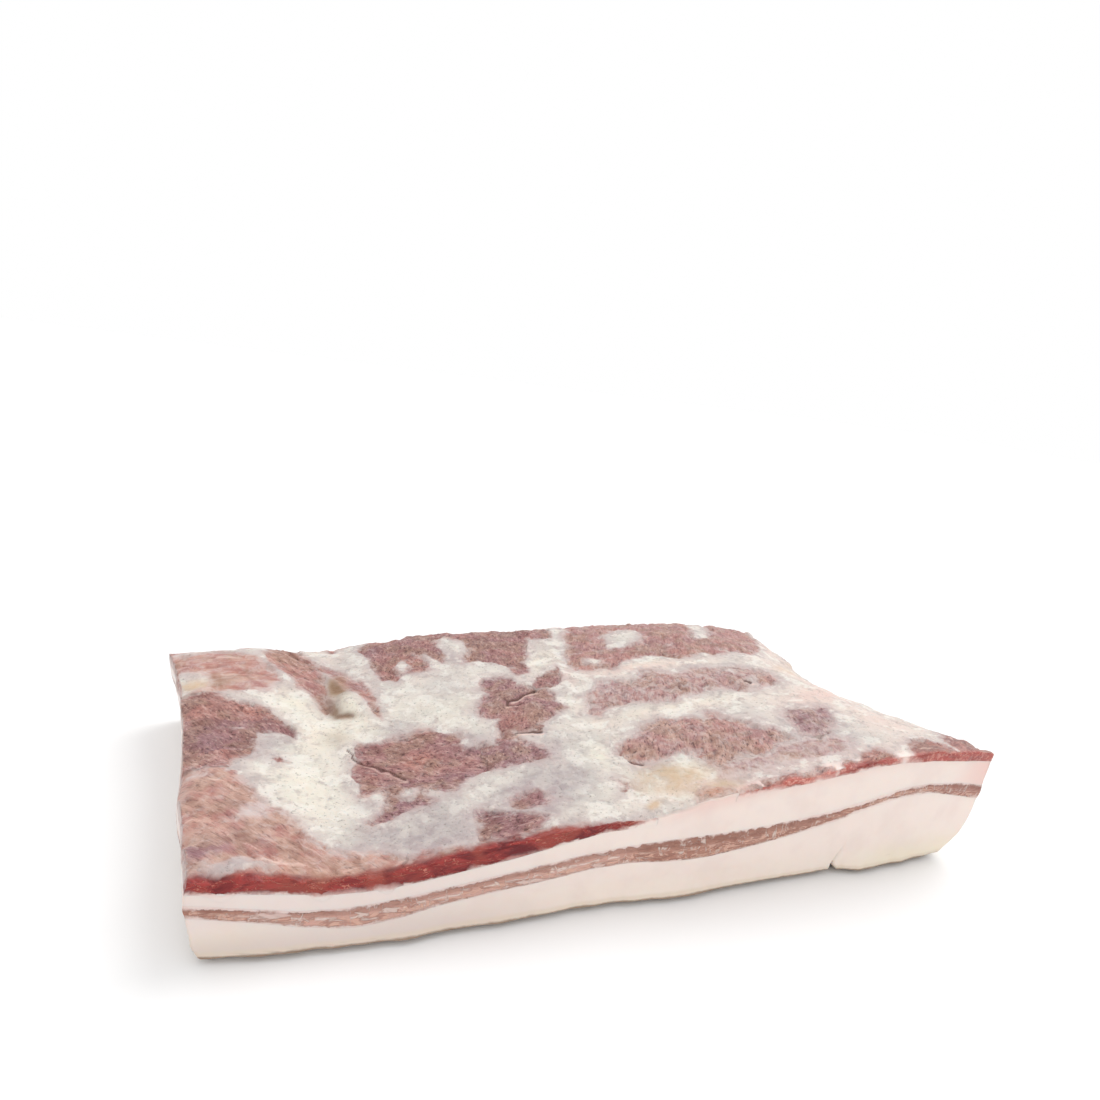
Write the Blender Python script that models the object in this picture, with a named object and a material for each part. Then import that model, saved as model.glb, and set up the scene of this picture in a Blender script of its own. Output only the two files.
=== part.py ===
# A piece of flat pancetta: cured pork belly with its rind underneath, trimmed to a block.
# The long front face is a fresh knife cut that shows the layers of fat and lean.
# The top is the rib side, with cushions of lean, seams of fat and a fold.
# Lengths in the tables and functions are millimetres in the frame of the front cut:
# x along the cut from its left corner, y towards the back, z up from the rind.
# The finished solids are in metres, centred over the origin.

import math

import bmesh
import bpy
from mathutils import Vector, noise

MM = 0.001

# Driving dimensions of the block
CUT_LENGTH = 240.0
DEPTH = 137.2
LEFT_FLARE = 13.7
RIGHT_TAPER = 8.7
GAP = 0.3

# Fineness of the solids
TOP_CELLS = (42, 24)
SHEET_CELLS = (24, 9)
LEAN_CELLS = (11, 22)
WALL_LEVELS = (0.84, 0.62, 0.4, 0.23, 0.11, 0.03, 0.0)
OVERHANG = 30.0
SKY = 90.0

# Height of the top over the rind along the front cut, the back and the right end
FRONT_CREST = ((-14, 26), (0, 25.5), (10, 24), (22, 21.2), (34, 19.8), (50, 21), (70, 24.2),
               (95, 27.6), (120, 29.2), (132, 32.6), (150, 36), (180, 40.5), (208, 43.6),
               (225, 42.6), (240, 41.3), (260, 40))
BACK_CREST = ((-14, 28), (14, 28.9), (39, 27.6), (54, 30.4), (76, 34), (102, 35.8), (140, 37.5),
              (178, 39.4), (207, 38.8), (232, 35.9), (260, 34.5))
RIGHT_CREST = ((-5, 41.5), (9, 41), (31, 37.6), (60, 33.4), (83, 30.4), (104, 33.3), (121, 35.7),
               (145, 36))
RIGHT_END_REACH = (200.0, 36.0)

# The lean streak between the two fats, as its upper and lower edge on the front cut
STREAK_TOP = ((-20, 18), (0, 16), (10, 13), (24, 10), (42, 10), (60, 12), (80, 15), (100, 18),
              (120, 19.6), (148, 20.8), (168, 22.7), (185, 25.6), (205, 30.5), (217, 31),
              (229, 30.2), (242, 27.6), (260, 25))
STREAK_BOTTOM = ((-20, 15), (0, 14), (10, 10.4), (22, 7.6), (34, 6), (50, 7), (66, 9.4), (82, 11.2),
                 (100, 14), (114, 14.6), (130, 13), (150, 15.5), (170, 19.2), (187, 23.4),
                 (205, 28.6), (216, 29.3), (227, 27.6), (242, 23.8), (260, 21))
STREAK_WAVE = (0.7, 46.0, 20.0)

# Winding edges of the two lean sheets on the top, as x for each y
LEFT_LEAN_EDGE = ((-30, 121), (2, 121), (14, 98), (26, 96), (40, 100), (52, 102), (64, 112),
                  (78, 114), (94, 119), (104, 112), (116, 115), (130, 120), (140, 128), (170, 128))
RIGHT_LEAN_EDGE = ((-30, 143), (0, 143), (12, 136), (26, 120), (42, 119), (54, 124), (66, 121),
                   (82, 124), (96, 128), (112, 129), (126, 131), (140, 137), (170, 137))
LEFT_LEAN_THICKNESS = (0.9, 4.4, 44.0)
LEFT_LEAN_DIP = (1.0, 26.0, 14.0)
RIGHT_LEAN_THICKNESS = (0.9, 1.0, 16.0)
RIGHT_LEAN_SWELL = (1.3, 196.0, 14.0)

# Sides: how far each one is drawn in at the rind, over which height, and how far it swells
LEFT_FOOT = (8.0, 11.0)
RIGHT_FOOT = (10.0, 14.0)
CUT_FOOT = (1.2, 2.0)
LEFT_SWELL = (3.2, 1.4)
RIGHT_SWELL = 1.6
RIGHT_HOLLOW = 1.6
RIND_LIP = (3.6, 16.0, 35.0, 30.0)
HEEL_LIP = (2.2, 12.0, 201.0, 15.0)
SECOND_STROKE = (203.0, 0.03)
EDGE_DROP = (1.5, 7.0)

# Crease in the lower fat: its middle along the cut, width at the rind and at its tip,
# height over the rind, and how far in and aside it runs
CREASE_MIDDLE = 185.5
CREASE_WIDTHS = (4.4, 1.2)
CREASE_HEIGHT = 9.5
CREASE_RUN = (2.0, 15.0)
CREASE_START = (-8.0, -3.0)

# Relief of the top: cushions as (x, y, half length, half width, height, turn in degrees)
CUSHIONS = (
    (150, 33, 42, 17, 1.6, 0),
    (163, 71, 43, 16, 1.6, 0),
    (170, 115, 50, 19, 1.5, -4),
    (44.5, 88, 6.5, 11, 2.4, 0),
    (37.5, 86, 5, 12, -2.6, -18),
    (3, 117, 22, 22, 1.0, 0),
    (74, 43, 38, 20, -0.9, 0),
    (104, 68, 16, 24, 0.8, 0),
    (84, 122, 34, 22, 0.8, 0),
    (6, 70, 18, 22, -0.8, 0),
)
# Straps of muscle as (from x, from y, to x, to y, half width, height)
STRAPS = (
    (14, 138, 38, 84, 7, 1.1),
    (28, 138, 54, 68, 6, 1.2),
    (-2, 46, 30, 4, 9, 0.9),
)
STRAP_END = 8.0
GRAIN = (0.5, 9.0)


def smooth_step(value):
    value = min(max(value, 0.0), 1.0)
    return value * value * (3.0 - 2.0 * value)


def hump(value, middle, half_width):
    reach = abs(value - middle) / half_width
    return smooth_step(1.0 - reach)


def along(points, value):
    """A smooth curve through the points, read at one value."""
    last = len(points) - 1
    if value <= points[0][0]:
        return points[0][1]
    if value >= points[last][0]:
        return points[last][1]
    index = next(i for i in range(last) if value <= points[i + 1][0])
    x0, z0 = points[index]
    x1, z1 = points[index + 1]
    before = points[max(index - 1, 0)]
    after = points[min(index + 2, last)]
    slope0 = (z1 - before[1]) / (x1 - before[0])
    slope1 = (after[1] - z0) / (after[0] - x0)
    span = x1 - x0
    t = (value - x0) / span
    curve = (2 * t**3 - 3 * t**2 + 1) * z0 + (3 * t**2 - 2 * t**3) * z1
    return curve + span * ((t**3 - 2 * t**2 + t) * slope0 + (t**3 - t**2) * slope1)


def crest(x, y):
    """Height of the block over its rind, without the fine relief."""
    share = y / DEPTH
    height = along(FRONT_CREST, x) * (1 - share) + along(BACK_CREST, x) * share
    start, reach = RIGHT_END_REACH
    front_end = along(RIGHT_CREST, 0.0)
    back_end = along(RIGHT_CREST, DEPTH)
    straight = front_end * (1 - share) + back_end * share
    return height + (along(RIGHT_CREST, y) - straight) * smooth_step((x - start) / reach)


def cushion(x, y, shape):
    middle_x, middle_y, half_length, half_width, height, turn = shape
    cos_turn = math.cos(math.radians(turn))
    sin_turn = math.sin(math.radians(turn))
    along_x = (x - middle_x) * cos_turn + (y - middle_y) * sin_turn
    along_y = (y - middle_y) * cos_turn - (x - middle_x) * sin_turn
    reach = (along_x / half_length) ** 2 + (along_y / half_width) ** 2
    return height * (1 - reach) ** 2 if reach < 1 else 0.0


def strap(x, y, shape):
    x0, y0, x1, y1, half_width, height = shape
    length = math.hypot(x1 - x0, y1 - y0)
    forward = ((x - x0) * (x1 - x0) + (y - y0) * (y1 - y0)) / length
    across = ((x - x0) * (y1 - y0) - (y - y0) * (x1 - x0)) / length
    ends = smooth_step(forward / STRAP_END) * smooth_step((length - forward) / STRAP_END)
    return height * ends * hump(across, 0.0, half_width)


def top_height(x, y, from_edge):
    """The full height of the top: crest, cushions, straps, grain and a worn edge."""
    height = crest(x, y)
    height += sum(cushion(x, y, shape) for shape in CUSHIONS)
    height += sum(strap(x, y, shape) for shape in STRAPS)
    amount, size = GRAIN
    height += amount * noise.noise(Vector((x / size, y / size, 0.0)))
    drop, reach = EDGE_DROP
    return height - drop * smooth_step(1.0 - from_edge / reach) ** 2


def foot(z, shape):
    """How far a side is drawn in near the rind."""
    inset, reach = shape
    return inset * (1 - z / reach) ** 2 if z < reach else 0.0


def lip(x, z, shape):
    """How far the cut stands forward near the rind, over one stretch of its length."""
    depth, reach, middle, half_width = shape
    return depth * (1 - z / reach) ** 2 * hump(x, middle, half_width) if z < reach else 0.0


def place(u, v, z, height):
    """A point of the block: u along the cut, v towards the back, z over the rind."""
    rise = math.sin(math.pi * min(max(z / height, 0.0), 1.0))
    left_swell = LEFT_SWELL[0] * (1 - v) + LEFT_SWELL[1] * v
    left = -LEFT_FLARE * v - left_swell * rise + foot(z, LEFT_FOOT)
    right = CUT_LENGTH - RIGHT_TAPER * v + RIGHT_SWELL * rise - foot(z, RIGHT_FOOT)
    right -= RIGHT_HOLLOW * math.sin(math.pi * v)
    x = left * (1 - u) + right * u
    front = foot(z, CUT_FOOT) - lip(x, z, RIND_LIP) - lip(x, z, HEEL_LIP)
    front += SECOND_STROKE[1] * max(x - SECOND_STROKE[0], 0.0)
    back = DEPTH - foot(z, CUT_FOOT)
    return x, front * (1 - v) + back * v


def block():
    """The outer form: a relief on top, walls drawn down from its edge, and a flat rind."""
    cells_x, cells_y = TOP_CELLS
    mesh = bmesh.new()
    bmesh.ops.create_grid(mesh, x_segments=cells_x, y_segments=cells_y, size=0.5)
    share = {vert: (vert.co.x + 0.5, vert.co.y + 0.5) for vert in mesh.verts}
    height = {}
    for vert, (u, v) in share.items():
        x, y = place(u, v, SKY, SKY)
        from_side = min(u, 1 - u) * CUT_LENGTH
        from_edge = min(from_side, (1 - v) * DEPTH)
        height[vert] = top_height(x, y, from_edge)
        x, y = place(u, v, height[vert], height[vert])
        vert.co = (x, y, height[vert])
    edge = [e for e in mesh.edges if e.is_boundary]
    for level in WALL_LEVELS:
        ring = {v for e in edge for v in e.verts}
        made = bmesh.ops.extrude_edge_only(mesh, edges=edge)["geom"]
        edge = [e for e in made if isinstance(e, bmesh.types.BMEdge) and e.is_boundary]
        for vert in {v for e in edge for v in e.verts}:
            above = next(e.other_vert(vert) for e in vert.link_edges if e.other_vert(vert) in ring)
            height[vert] = height[above]
            share[vert] = share[above]
            z = height[vert] * level
            vert.co = (*place(*share[vert], z, height[vert]), z)
    bmesh.ops.edgeloop_fill(mesh, edges=edge)
    bmesh.ops.recalc_face_normals(mesh, faces=mesh.faces)
    return mesh


def between(lower, upper, x_range, y_range, cells):
    """A closed region between two height functions over a stretch of the plan."""
    mesh = bmesh.new()
    bmesh.ops.create_grid(mesh, x_segments=cells[0], y_segments=cells[1], size=0.5)
    bmesh.ops.triangulate(mesh, faces=mesh.faces, quad_method="FIXED")
    floor = list(mesh.verts)
    made = bmesh.ops.extrude_face_region(mesh, geom=list(mesh.faces), use_keep_orig=True)
    roof = [v for v in made["geom"] if isinstance(v, bmesh.types.BMVert)]
    for verts, rule in ((floor, lower), (roof, upper)):
        for vert in verts:
            u, v = vert.co.x + 0.5, vert.co.y + 0.5
            y = y_range[0] * (1 - v) + y_range[1] * v
            start, end = x_range(y)
            x = start * (1 - u) + end * u
            vert.co = (x, y, rule(x, y))
    bmesh.ops.recalc_face_normals(mesh, faces=mesh.faces)
    return mesh


def whole_plan(y):
    return -LEFT_FLARE - OVERHANG, CUT_LENGTH + OVERHANG


def depth_range():
    return -OVERHANG, DEPTH + OVERHANG


def streak_edge(points, x, y):
    """The edge on the cut, carried through the depth with the block's changing height."""
    inside = min(max(y, 0.0), DEPTH)
    swing, length, start = STREAK_WAVE
    wave = swing * math.sin((x + inside * 2) / length) * smooth_step(inside / start)
    return along(points, x) * crest(x, inside) / crest(x, 0.0) + wave


def left_lean_floor(x, y):
    thin, more, reach = LEFT_LEAN_THICKNESS
    inside = min(max(y, 0.0), DEPTH)
    from_end = along(LEFT_LEAN_EDGE, inside) - x
    thickness = thin + more * smooth_step(from_end / reach)
    thickness -= LEFT_LEAN_DIP[0] * hump(x, LEFT_LEAN_DIP[1], LEFT_LEAN_DIP[2])
    return crest(x, inside) - thickness


def right_lean_floor(x, y):
    thin, more, reach = RIGHT_LEAN_THICKNESS
    inside = min(max(y, 0.0), DEPTH)
    from_end = x - along(RIGHT_LEAN_EDGE, inside)
    thickness = thin + more * smooth_step(from_end / reach)
    swell, start, width = RIGHT_LEAN_SWELL
    thickness += swell * smooth_step((x - start) / width)
    return crest(x, inside) - thickness


def sky(x, y):
    return SKY


def lean_region(side, grow):
    """Where one lean sheet lies; grown by the gap, it is the pocket in the fat."""
    if side == "left":
        def reach(y):
            return -LEFT_FLARE - OVERHANG, along(LEFT_LEAN_EDGE, y) + grow

        def under(x, y):
            return left_lean_floor(x, y) - grow
    else:
        def reach(y):
            return along(RIGHT_LEAN_EDGE, y) - grow, CUT_LENGTH + OVERHANG

        def under(x, y):
            return right_lean_floor(x, y) - grow
    return between(under, sky, reach, depth_range(), LEAN_CELLS)


def crease_wedge():
    """The narrow open crease that runs in from the cut through the lower fat."""
    wide, narrow = (width / 2 for width in CREASE_WIDTHS)
    start, below = CREASE_START
    aside, deep = CREASE_RUN
    mesh = bmesh.new()
    corners = ((CREASE_MIDDLE - wide, start, below), (CREASE_MIDDLE + wide, start, below),
               (CREASE_MIDDLE - narrow, start, CREASE_HEIGHT),
               (CREASE_MIDDLE + narrow, start, CREASE_HEIGHT),
               (CREASE_MIDDLE + aside, deep, below))
    verts = [mesh.verts.new(corner) for corner in corners]
    for face in ((0, 1, 3, 2), (0, 2, 4), (2, 3, 4), (3, 1, 4), (1, 0, 4)):
        mesh.faces.new([verts[i] for i in face])
    bmesh.ops.recalc_face_normals(mesh, faces=mesh.faces)
    return mesh


def material(name, colour, roughness):
    made = bpy.data.materials.new(name)
    made.use_nodes = True
    shader = made.node_tree.nodes["Principled BSDF"]
    shader.inputs["Base Color"].default_value = (*colour, 1.0)
    shader.inputs["Roughness"].default_value = roughness
    shader.inputs["Metallic"].default_value = 0.0
    return made


def add(name, mesh, finish=None):
    data = bpy.data.meshes.new(name)
    mesh.to_mesh(data)
    mesh.free()
    made = bpy.data.objects.new(name, data)
    bpy.context.scene.collection.objects.link(made)
    if finish:
        data.materials.append(finish)
    else:
        made.hide_render = True
        made.display_type = "WIRE"
    return made


def combine(piece, other, operation):
    modifier = piece.modifiers.new(f"{operation.lower()}_{other.name}", "BOOLEAN")
    modifier.object = other
    modifier.operation = operation
    modifier.solver = "EXACT"


def centre(pieces):
    """Brings the block over the origin and turns millimetres into metres."""
    bpy.context.view_layer.update()
    graph = bpy.context.evaluated_depsgraph_get()
    points = [Vector(c) for p in pieces for c in p.evaluated_get(graph).bound_box]
    low = [min(p[i] for p in points) for i in range(3)]
    high = [max(p[i] for p in points) for i in range(3)]
    shift = Vector(((low[0] + high[0]) / 2, (low[1] + high[1]) / 2, 0.0))
    for data in bpy.data.meshes:
        for vert in data.vertices:
            vert.co = (vert.co - shift) * MM
    print("block centre in the frame of the cut:", [round(c, 3) for c in shift])
    print("block size:", [round(high[i] - low[i], 2) for i in range(3)])


def build():
    for old in list(bpy.data.objects):
        bpy.data.objects.remove(old, do_unlink=True)
    fat = material("back_fat", (0.85, 0.76, 0.72), 0.45)
    cover = material("seam_fat", (0.82, 0.74, 0.71), 0.42)
    dark = material("belly_lean", (0.42, 0.09, 0.09), 0.4)
    dry = material("rib_lean", (0.45, 0.2, 0.18), 0.5)
    pale = material("streak_lean", (0.55, 0.26, 0.22), 0.45)

    regions = {
        "under_streak": between(lambda x, y: -SKY,
                                lambda x, y: streak_edge(STREAK_BOTTOM, x, y) - GAP,
                                whole_plan, depth_range(), SHEET_CELLS),
        "along_streak": between(lambda x, y: streak_edge(STREAK_BOTTOM, x, y),
                                lambda x, y: streak_edge(STREAK_TOP, x, y),
                                whole_plan, depth_range(), SHEET_CELLS),
        "over_streak": between(lambda x, y: streak_edge(STREAK_TOP, x, y) + GAP,
                               sky, whole_plan, depth_range(), SHEET_CELLS),
        "left_lean_keep": lean_region("left", 0.0),
        "right_lean_keep": lean_region("right", 0.0),
        "left_lean_pocket": lean_region("left", GAP),
        "right_lean_pocket": lean_region("right", GAP),
        "crease": crease_wedge(),
    }
    tool = {name: add(name, mesh) for name, mesh in regions.items()}
    plan = (
        ("lower_fat", fat, (("under_streak", "INTERSECT"), ("crease", "DIFFERENCE"))),
        ("lean_streak", pale, (("along_streak", "INTERSECT"),)),
        ("upper_fat", cover, (("over_streak", "INTERSECT"), ("left_lean_pocket", "DIFFERENCE"),
                              ("right_lean_pocket", "DIFFERENCE"))),
        ("lean_left", dark, (("left_lean_keep", "INTERSECT"),)),
        ("lean_right", dry, (("right_lean_keep", "INTERSECT"),)),
    )
    pieces = []
    for name, finish, steps in plan:
        piece = add(name, block(), finish)
        for tool_name, operation in steps:
            combine(piece, tool[tool_name], operation)
        pieces.append(piece)
    centre(pieces)


build()
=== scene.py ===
# %% [markdown]
# A slab of flat pancetta
#
# The piece is cured pork belly lying on its rind. A knife has cut the long front face, so the
# layers show there: red lean on top, white fat, a pale streak of lean, and more white fat.
# The top is the rib side, a dry mosaic of lean muscles and seams of fat.
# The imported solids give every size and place. This script makes the fine surface over them.

# %% Load the frame
import math

import bpy
import numpy as np
from mathutils import Matrix, Vector
from mathutils.bvhtree import BVHTree


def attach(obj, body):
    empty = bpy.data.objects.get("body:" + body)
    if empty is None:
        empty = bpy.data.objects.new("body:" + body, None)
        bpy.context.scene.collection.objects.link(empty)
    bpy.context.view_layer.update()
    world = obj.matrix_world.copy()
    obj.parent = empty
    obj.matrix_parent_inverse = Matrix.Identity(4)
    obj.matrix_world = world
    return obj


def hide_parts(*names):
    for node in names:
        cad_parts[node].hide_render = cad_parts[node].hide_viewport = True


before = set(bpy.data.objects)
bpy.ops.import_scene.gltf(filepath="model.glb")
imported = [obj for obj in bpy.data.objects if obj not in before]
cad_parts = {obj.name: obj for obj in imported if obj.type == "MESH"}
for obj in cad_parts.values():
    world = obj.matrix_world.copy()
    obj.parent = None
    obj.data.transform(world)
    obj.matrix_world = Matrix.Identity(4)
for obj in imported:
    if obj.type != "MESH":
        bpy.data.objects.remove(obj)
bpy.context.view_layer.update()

MM = 0.001
CORNER = np.array((-113.24, -67.24, 0.0))

# %% [markdown]
# One set of coordinates for the whole lesson
#
# A maker would measure this block from the lower left corner of the fresh cut: x along the cut,
# y towards the back, z up from the rind, all in millimetres. CORNER is that corner, measured from
# the middle of the block, so every position below is easy to check against a ruler.

# %% Camera
CAMERA_PLACE = (20.62, -152.43, 134.97)
PITCH, YAW, ROLL = (math.radians(a) for a in (29.614, 24.139, -8.002))
PHOTO_SIDE = 1100.0
FOCAL_PIXELS = 749.26
MIDDLE_PIXEL = (567.0, 790.0)


def camera_axes():
    forward = Vector((math.sin(YAW) * math.cos(PITCH), math.cos(YAW) * math.cos(PITCH),
                      -math.sin(PITCH)))
    level = Vector((math.cos(YAW), -math.sin(YAW), 0.0))
    down = forward.cross(level)
    right = math.cos(ROLL) * level + math.sin(ROLL) * down
    down = -math.sin(ROLL) * level + math.cos(ROLL) * down
    return right, -down, -forward


camera_data = bpy.data.cameras.new("photo_camera")
camera_data.sensor_width = 36.0
camera_data.lens = FOCAL_PIXELS * camera_data.sensor_width / PHOTO_SIDE
camera_data.shift_x = (PHOTO_SIDE / 2 - MIDDLE_PIXEL[0]) / PHOTO_SIDE
camera_data.shift_y = (MIDDLE_PIXEL[1] - PHOTO_SIDE / 2) / PHOTO_SIDE
camera_data.clip_start = 0.01
camera = bpy.data.objects.new("photo_camera", camera_data)
bpy.context.scene.collection.objects.link(camera)
axes = Matrix(camera_axes()).transposed().to_4x4()
camera.matrix_world = Matrix.Translation((Vector(CAMERA_PLACE) + Vector(CORNER)) * MM) @ axes
bpy.context.scene.camera = camera
print("lens", round(camera_data.lens, 2), "mm")

# %% [markdown]
# Survey of the block
#
# The solids are faceted, as a carver's rough block is. A fine surface has to follow them, so the
# first step is a survey. Rays are shot straight down at the solids, one to each square
# millimetre, and the places where they land say how high the block is.

# %% Grid and rays
XS = np.arange(-22.0, 252.0)
YS = np.arange(-8.0, 146.0)
ZS = np.arange(0.5, 47.0)
GRAZING = {0: 0.45, 1: 0.45, 2: 0.62}


def tree_of(*names):
    points, faces = [], []
    for name in names:
        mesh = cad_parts[name].data
        start = len(points)
        points += [Vector(np.array(v.co) / MM - CORNER) for v in mesh.vertices]
        faces += [[start + i for i in p.vertices] for p in mesh.polygons]
    return BVHTree.FromPolygons(points, faces)


def shoot(tree, origins, way, axis):
    """Where rays meet the solids, as one coordinate; nan where they miss or only graze."""
    found = np.full(len(origins), np.nan)
    for i, origin in enumerate(origins):
        place, normal, _, _ = tree.ray_cast(Vector(origin), way)
        if place is not None and abs(normal.dot(way)) > GRAZING[axis]:
            found[i] = place[axis]
    return found


def plan_map(tree, from_above):
    height, way = (100.0, Vector((0, 0, -1))) if from_above else (-20.0, Vector((0, 0, 1)))
    origins = [(x, y, height) for x in XS for y in YS]
    return shoot(tree, origins, way, 2).reshape(len(XS), len(YS))


whole = tree_of(*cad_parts)
rough_crest = plan_map(whole, True)
print(np.isfinite(rough_crest).sum(), "of", rough_crest.size, "rays meet the block")

# %% [markdown]
# From hits to smooth maps
#
# Rays miss beyond the edges, so the known heights are first carried outwards. A light blur then
# takes the facets out, as a plasterer's float would. Each map ends up as a function that can be
# asked for the height at any point.

# %% Smooth maps
FACET_BLUR = 2.2
WALL_BLUR = 1.3


def spread(values):
    """Carries the known cells outwards over the unknown ones."""
    values = values.copy()
    while np.isnan(values).any():
        padded = np.pad(values, 1, constant_values=np.nan)
        stack = np.stack([padded[1:-1, :-2], padded[1:-1, 2:], padded[:-2, 1:-1], padded[2:, 1:-1]])
        known = ~np.isnan(stack)
        total = np.where(known, stack, 0.0).sum(0)
        count = known.sum(0)
        new = np.where(count > 0, total / np.maximum(count, 1), np.nan)
        values = np.where(np.isnan(values), new, values)
    return values


def blur(values, sigma):
    reach = int(math.ceil(3 * sigma))
    weights = np.exp(-0.5 * (np.arange(-reach, reach + 1) / sigma) ** 2)
    weights /= weights.sum()
    for axis in range(values.ndim):
        pads = [(reach, reach) if a == axis else (0, 0) for a in range(values.ndim)]
        padded = np.pad(values, pads, mode="edge")
        values = np.apply_along_axis(np.convolve, axis, padded, weights, mode="valid")
    return values


def read(values, first, second, a, b):
    """Bilinear reading of a map at positions a and b."""
    i = np.clip((a - first[0]) / (first[1] - first[0]), 0, len(first) - 1.001)
    j = np.clip((b - second[0]) / (second[1] - second[0]), 0, len(second) - 1.001)
    i0, j0 = i.astype(int), j.astype(int)
    di, dj = i - i0, j - j0
    top = values[i0, j0] * (1 - dj) + values[i0, j0 + 1] * dj
    low = values[i0 + 1, j0] * (1 - dj) + values[i0 + 1, j0 + 1] * dj
    return top * (1 - di) + low * di


def reader(values):
    """A height map as a function of x and y."""
    return lambda x, y: read(values, XS, YS, x, y)


crest_map = blur(spread(rough_crest), FACET_BLUR)
crest = reader(crest_map)
print("crest runs from", round(crest_map.min(), 1), "to", round(crest_map.max(), 1), "mm")

# %% [markdown]
# The four walls
#
# The sides are surveyed in the same way, with rays from the left, right, front and back.
# The solids lie 0.3 mm apart, so three rays at each place, one above the other, pass over the
# gaps. Near the ends, where a ray would slip past the corner, the wall is carried on.

# %% Side walls
CREASE_PLACE = (180.0, 192.0, 11.0)
# side: where the rays start, their way, the coordinate they give, which of three hits counts,
# the stretch of wall that is sure, and how far it may lie from the outermost hit
SIDES = {
    "left": (-80.0, (1, 0, 0), 0, np.fmin, (1, 136), 12.0),
    "right": (320.0, (-1, 0, 0), 0, np.fmax, (1, 136), 12.0),
    "front": (-80.0, (0, 1, 0), 1, np.fmin, (2, 237), 7.0),
    "back": (220.0, (0, -1, 0), 1, np.fmax, (-11, 228), 5.0),
}


def side_map(tree, side):
    """Where the wall stands on one side; three rays at each place pass over the layer gaps."""
    start, way, axis, best, sure, deepest = SIDES[side]
    along = YS if axis == 0 else XS
    result = None
    for lift in (-0.45, 0.0, 0.45):
        order = (lambda a, z: (start, a, z)) if axis == 0 else (lambda a, z: (a, start, z))
        origins = [order(a, z + lift) for a in along for z in ZS]
        hit = shoot(tree, origins, Vector(way), axis).reshape(len(along), len(ZS))
        result = hit if result is None else best(result, hit)
    result[(along < sure[0]) | (along > sure[1])] = np.nan
    if side == "front":
        crease = (along > CREASE_PLACE[0]) & (along < CREASE_PLACE[1])
        result[np.ix_(crease, ZS < CREASE_PLACE[2])] = np.nan
    outermost = best.reduce(result, axis=1, keepdims=True)
    return np.where(np.abs(result - outermost) < deepest, result, np.nan)


wall_map = {side: blur(spread(side_map(whole, side)), WALL_BLUR) for side in SIDES}
for side, values in wall_map.items():
    print(side, "wall lies between", round(values.min(), 1), "and", round(values.max(), 1), "mm")

# %% [markdown]
# The layers inside
#
# The same rays find the surfaces between the layers: the two faces of the streak, and the
# undersides of the two sheets of lean. Where the rays from below stop finding a sheet, it has
# run out. That gives the two winding ends, with the band of fat between them.

# %% Inner surfaces


def layer_map(name, from_above):
    found = plan_map(tree_of(name), from_above)
    return blur(spread(found), FACET_BLUR), np.isfinite(found)


def sheet_end(known, find):
    """The winding end of a lean sheet: its x for each y."""
    edge = np.array([find(XS[row]) if row.any() else np.nan for row in known.T])
    inside = ~np.isnan(edge) & (YS > 1.5) & (YS < 135.5)
    edge = blur(np.interp(YS, YS[inside], edge[inside]), 2.0)
    print("a lean sheet ends between", round(edge.min(), 1), "and", round(edge.max(), 1), "mm")
    return lambda y: np.interp(y, YS, edge)


streak_top = reader(layer_map("lean_streak", True)[0])
streak_low = reader(layer_map("lean_streak", False)[0])
left_low_map, left_known = layer_map("lean_left", False)
right_low_map, right_known = layer_map("lean_right", False)
left_low, right_low = reader(left_low_map), reader(right_low_map)
left_end = sheet_end(left_known, np.max)
right_end = sheet_end(right_known, np.min)

# %% [markdown]
# Natural noise
#
# Meat has no straight lines. Smooth random noise at several sizes bends every border and gives
# every surface its bumps. The lattice is seeded, so each run gives the same slab. Slow changes
# along the block are written as bends, a few measured points joined by straight lines.

# %% Noise and curves
LATTICE = 256
noise_tables = {}


def noise(a, b, size, seed):
    """Smooth noise between -1 and 1 whose bumps are about size millimetres wide."""
    if seed not in noise_tables:
        noise_tables[seed] = np.random.default_rng(seed).uniform(-1, 1, (LATTICE, LATTICE))
    table = noise_tables[seed]
    a, b = np.asarray(a) / size + 100.0, np.asarray(b) / size + 100.0
    i, j = np.floor(a).astype(int), np.floor(b).astype(int)
    s, t = a - i, b - j
    s, t = s * s * (3 - 2 * s), t * t * (3 - 2 * t)
    i0, i1, j0, j1 = i % LATTICE, (i + 1) % LATTICE, j % LATTICE, (j + 1) % LATTICE
    top = table[i0, j0] * (1 - t) + table[i0, j1] * t
    low = table[i1, j0] * (1 - t) + table[i1, j1] * t
    return top * (1 - s) + low * s


def layered(a, b, size, seed, layers=3):
    """Several sizes of noise on top of each other."""
    total = sum(noise(a, b, size / 2 ** k, seed + k) / 2 ** k for k in range(layers))
    return total / 1.6


def step(value):
    value = np.clip(value, 0.0, 1.0)
    return value * value * (3 - 2 * value)


def bend(points, value):
    """Reads a curve that is given as a few points."""
    return np.interp(value, *zip(*points))


sample = layered(XS, XS * 0, 7.0, 55, 4)
print("noise swings between", round(sample.min(), 2), "and", round(sample.max(), 2))

# %% [markdown]
# Muscles of the thin half
#
# Each muscle that shows on top is an island in a sea of fat. It is drawn the way a butcher would
# sketch it, as an outline of a few corners, with its colour and the way its fibres run.
# The outlines pass the edges of the block, because the mosaic is simply cut off there.

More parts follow.
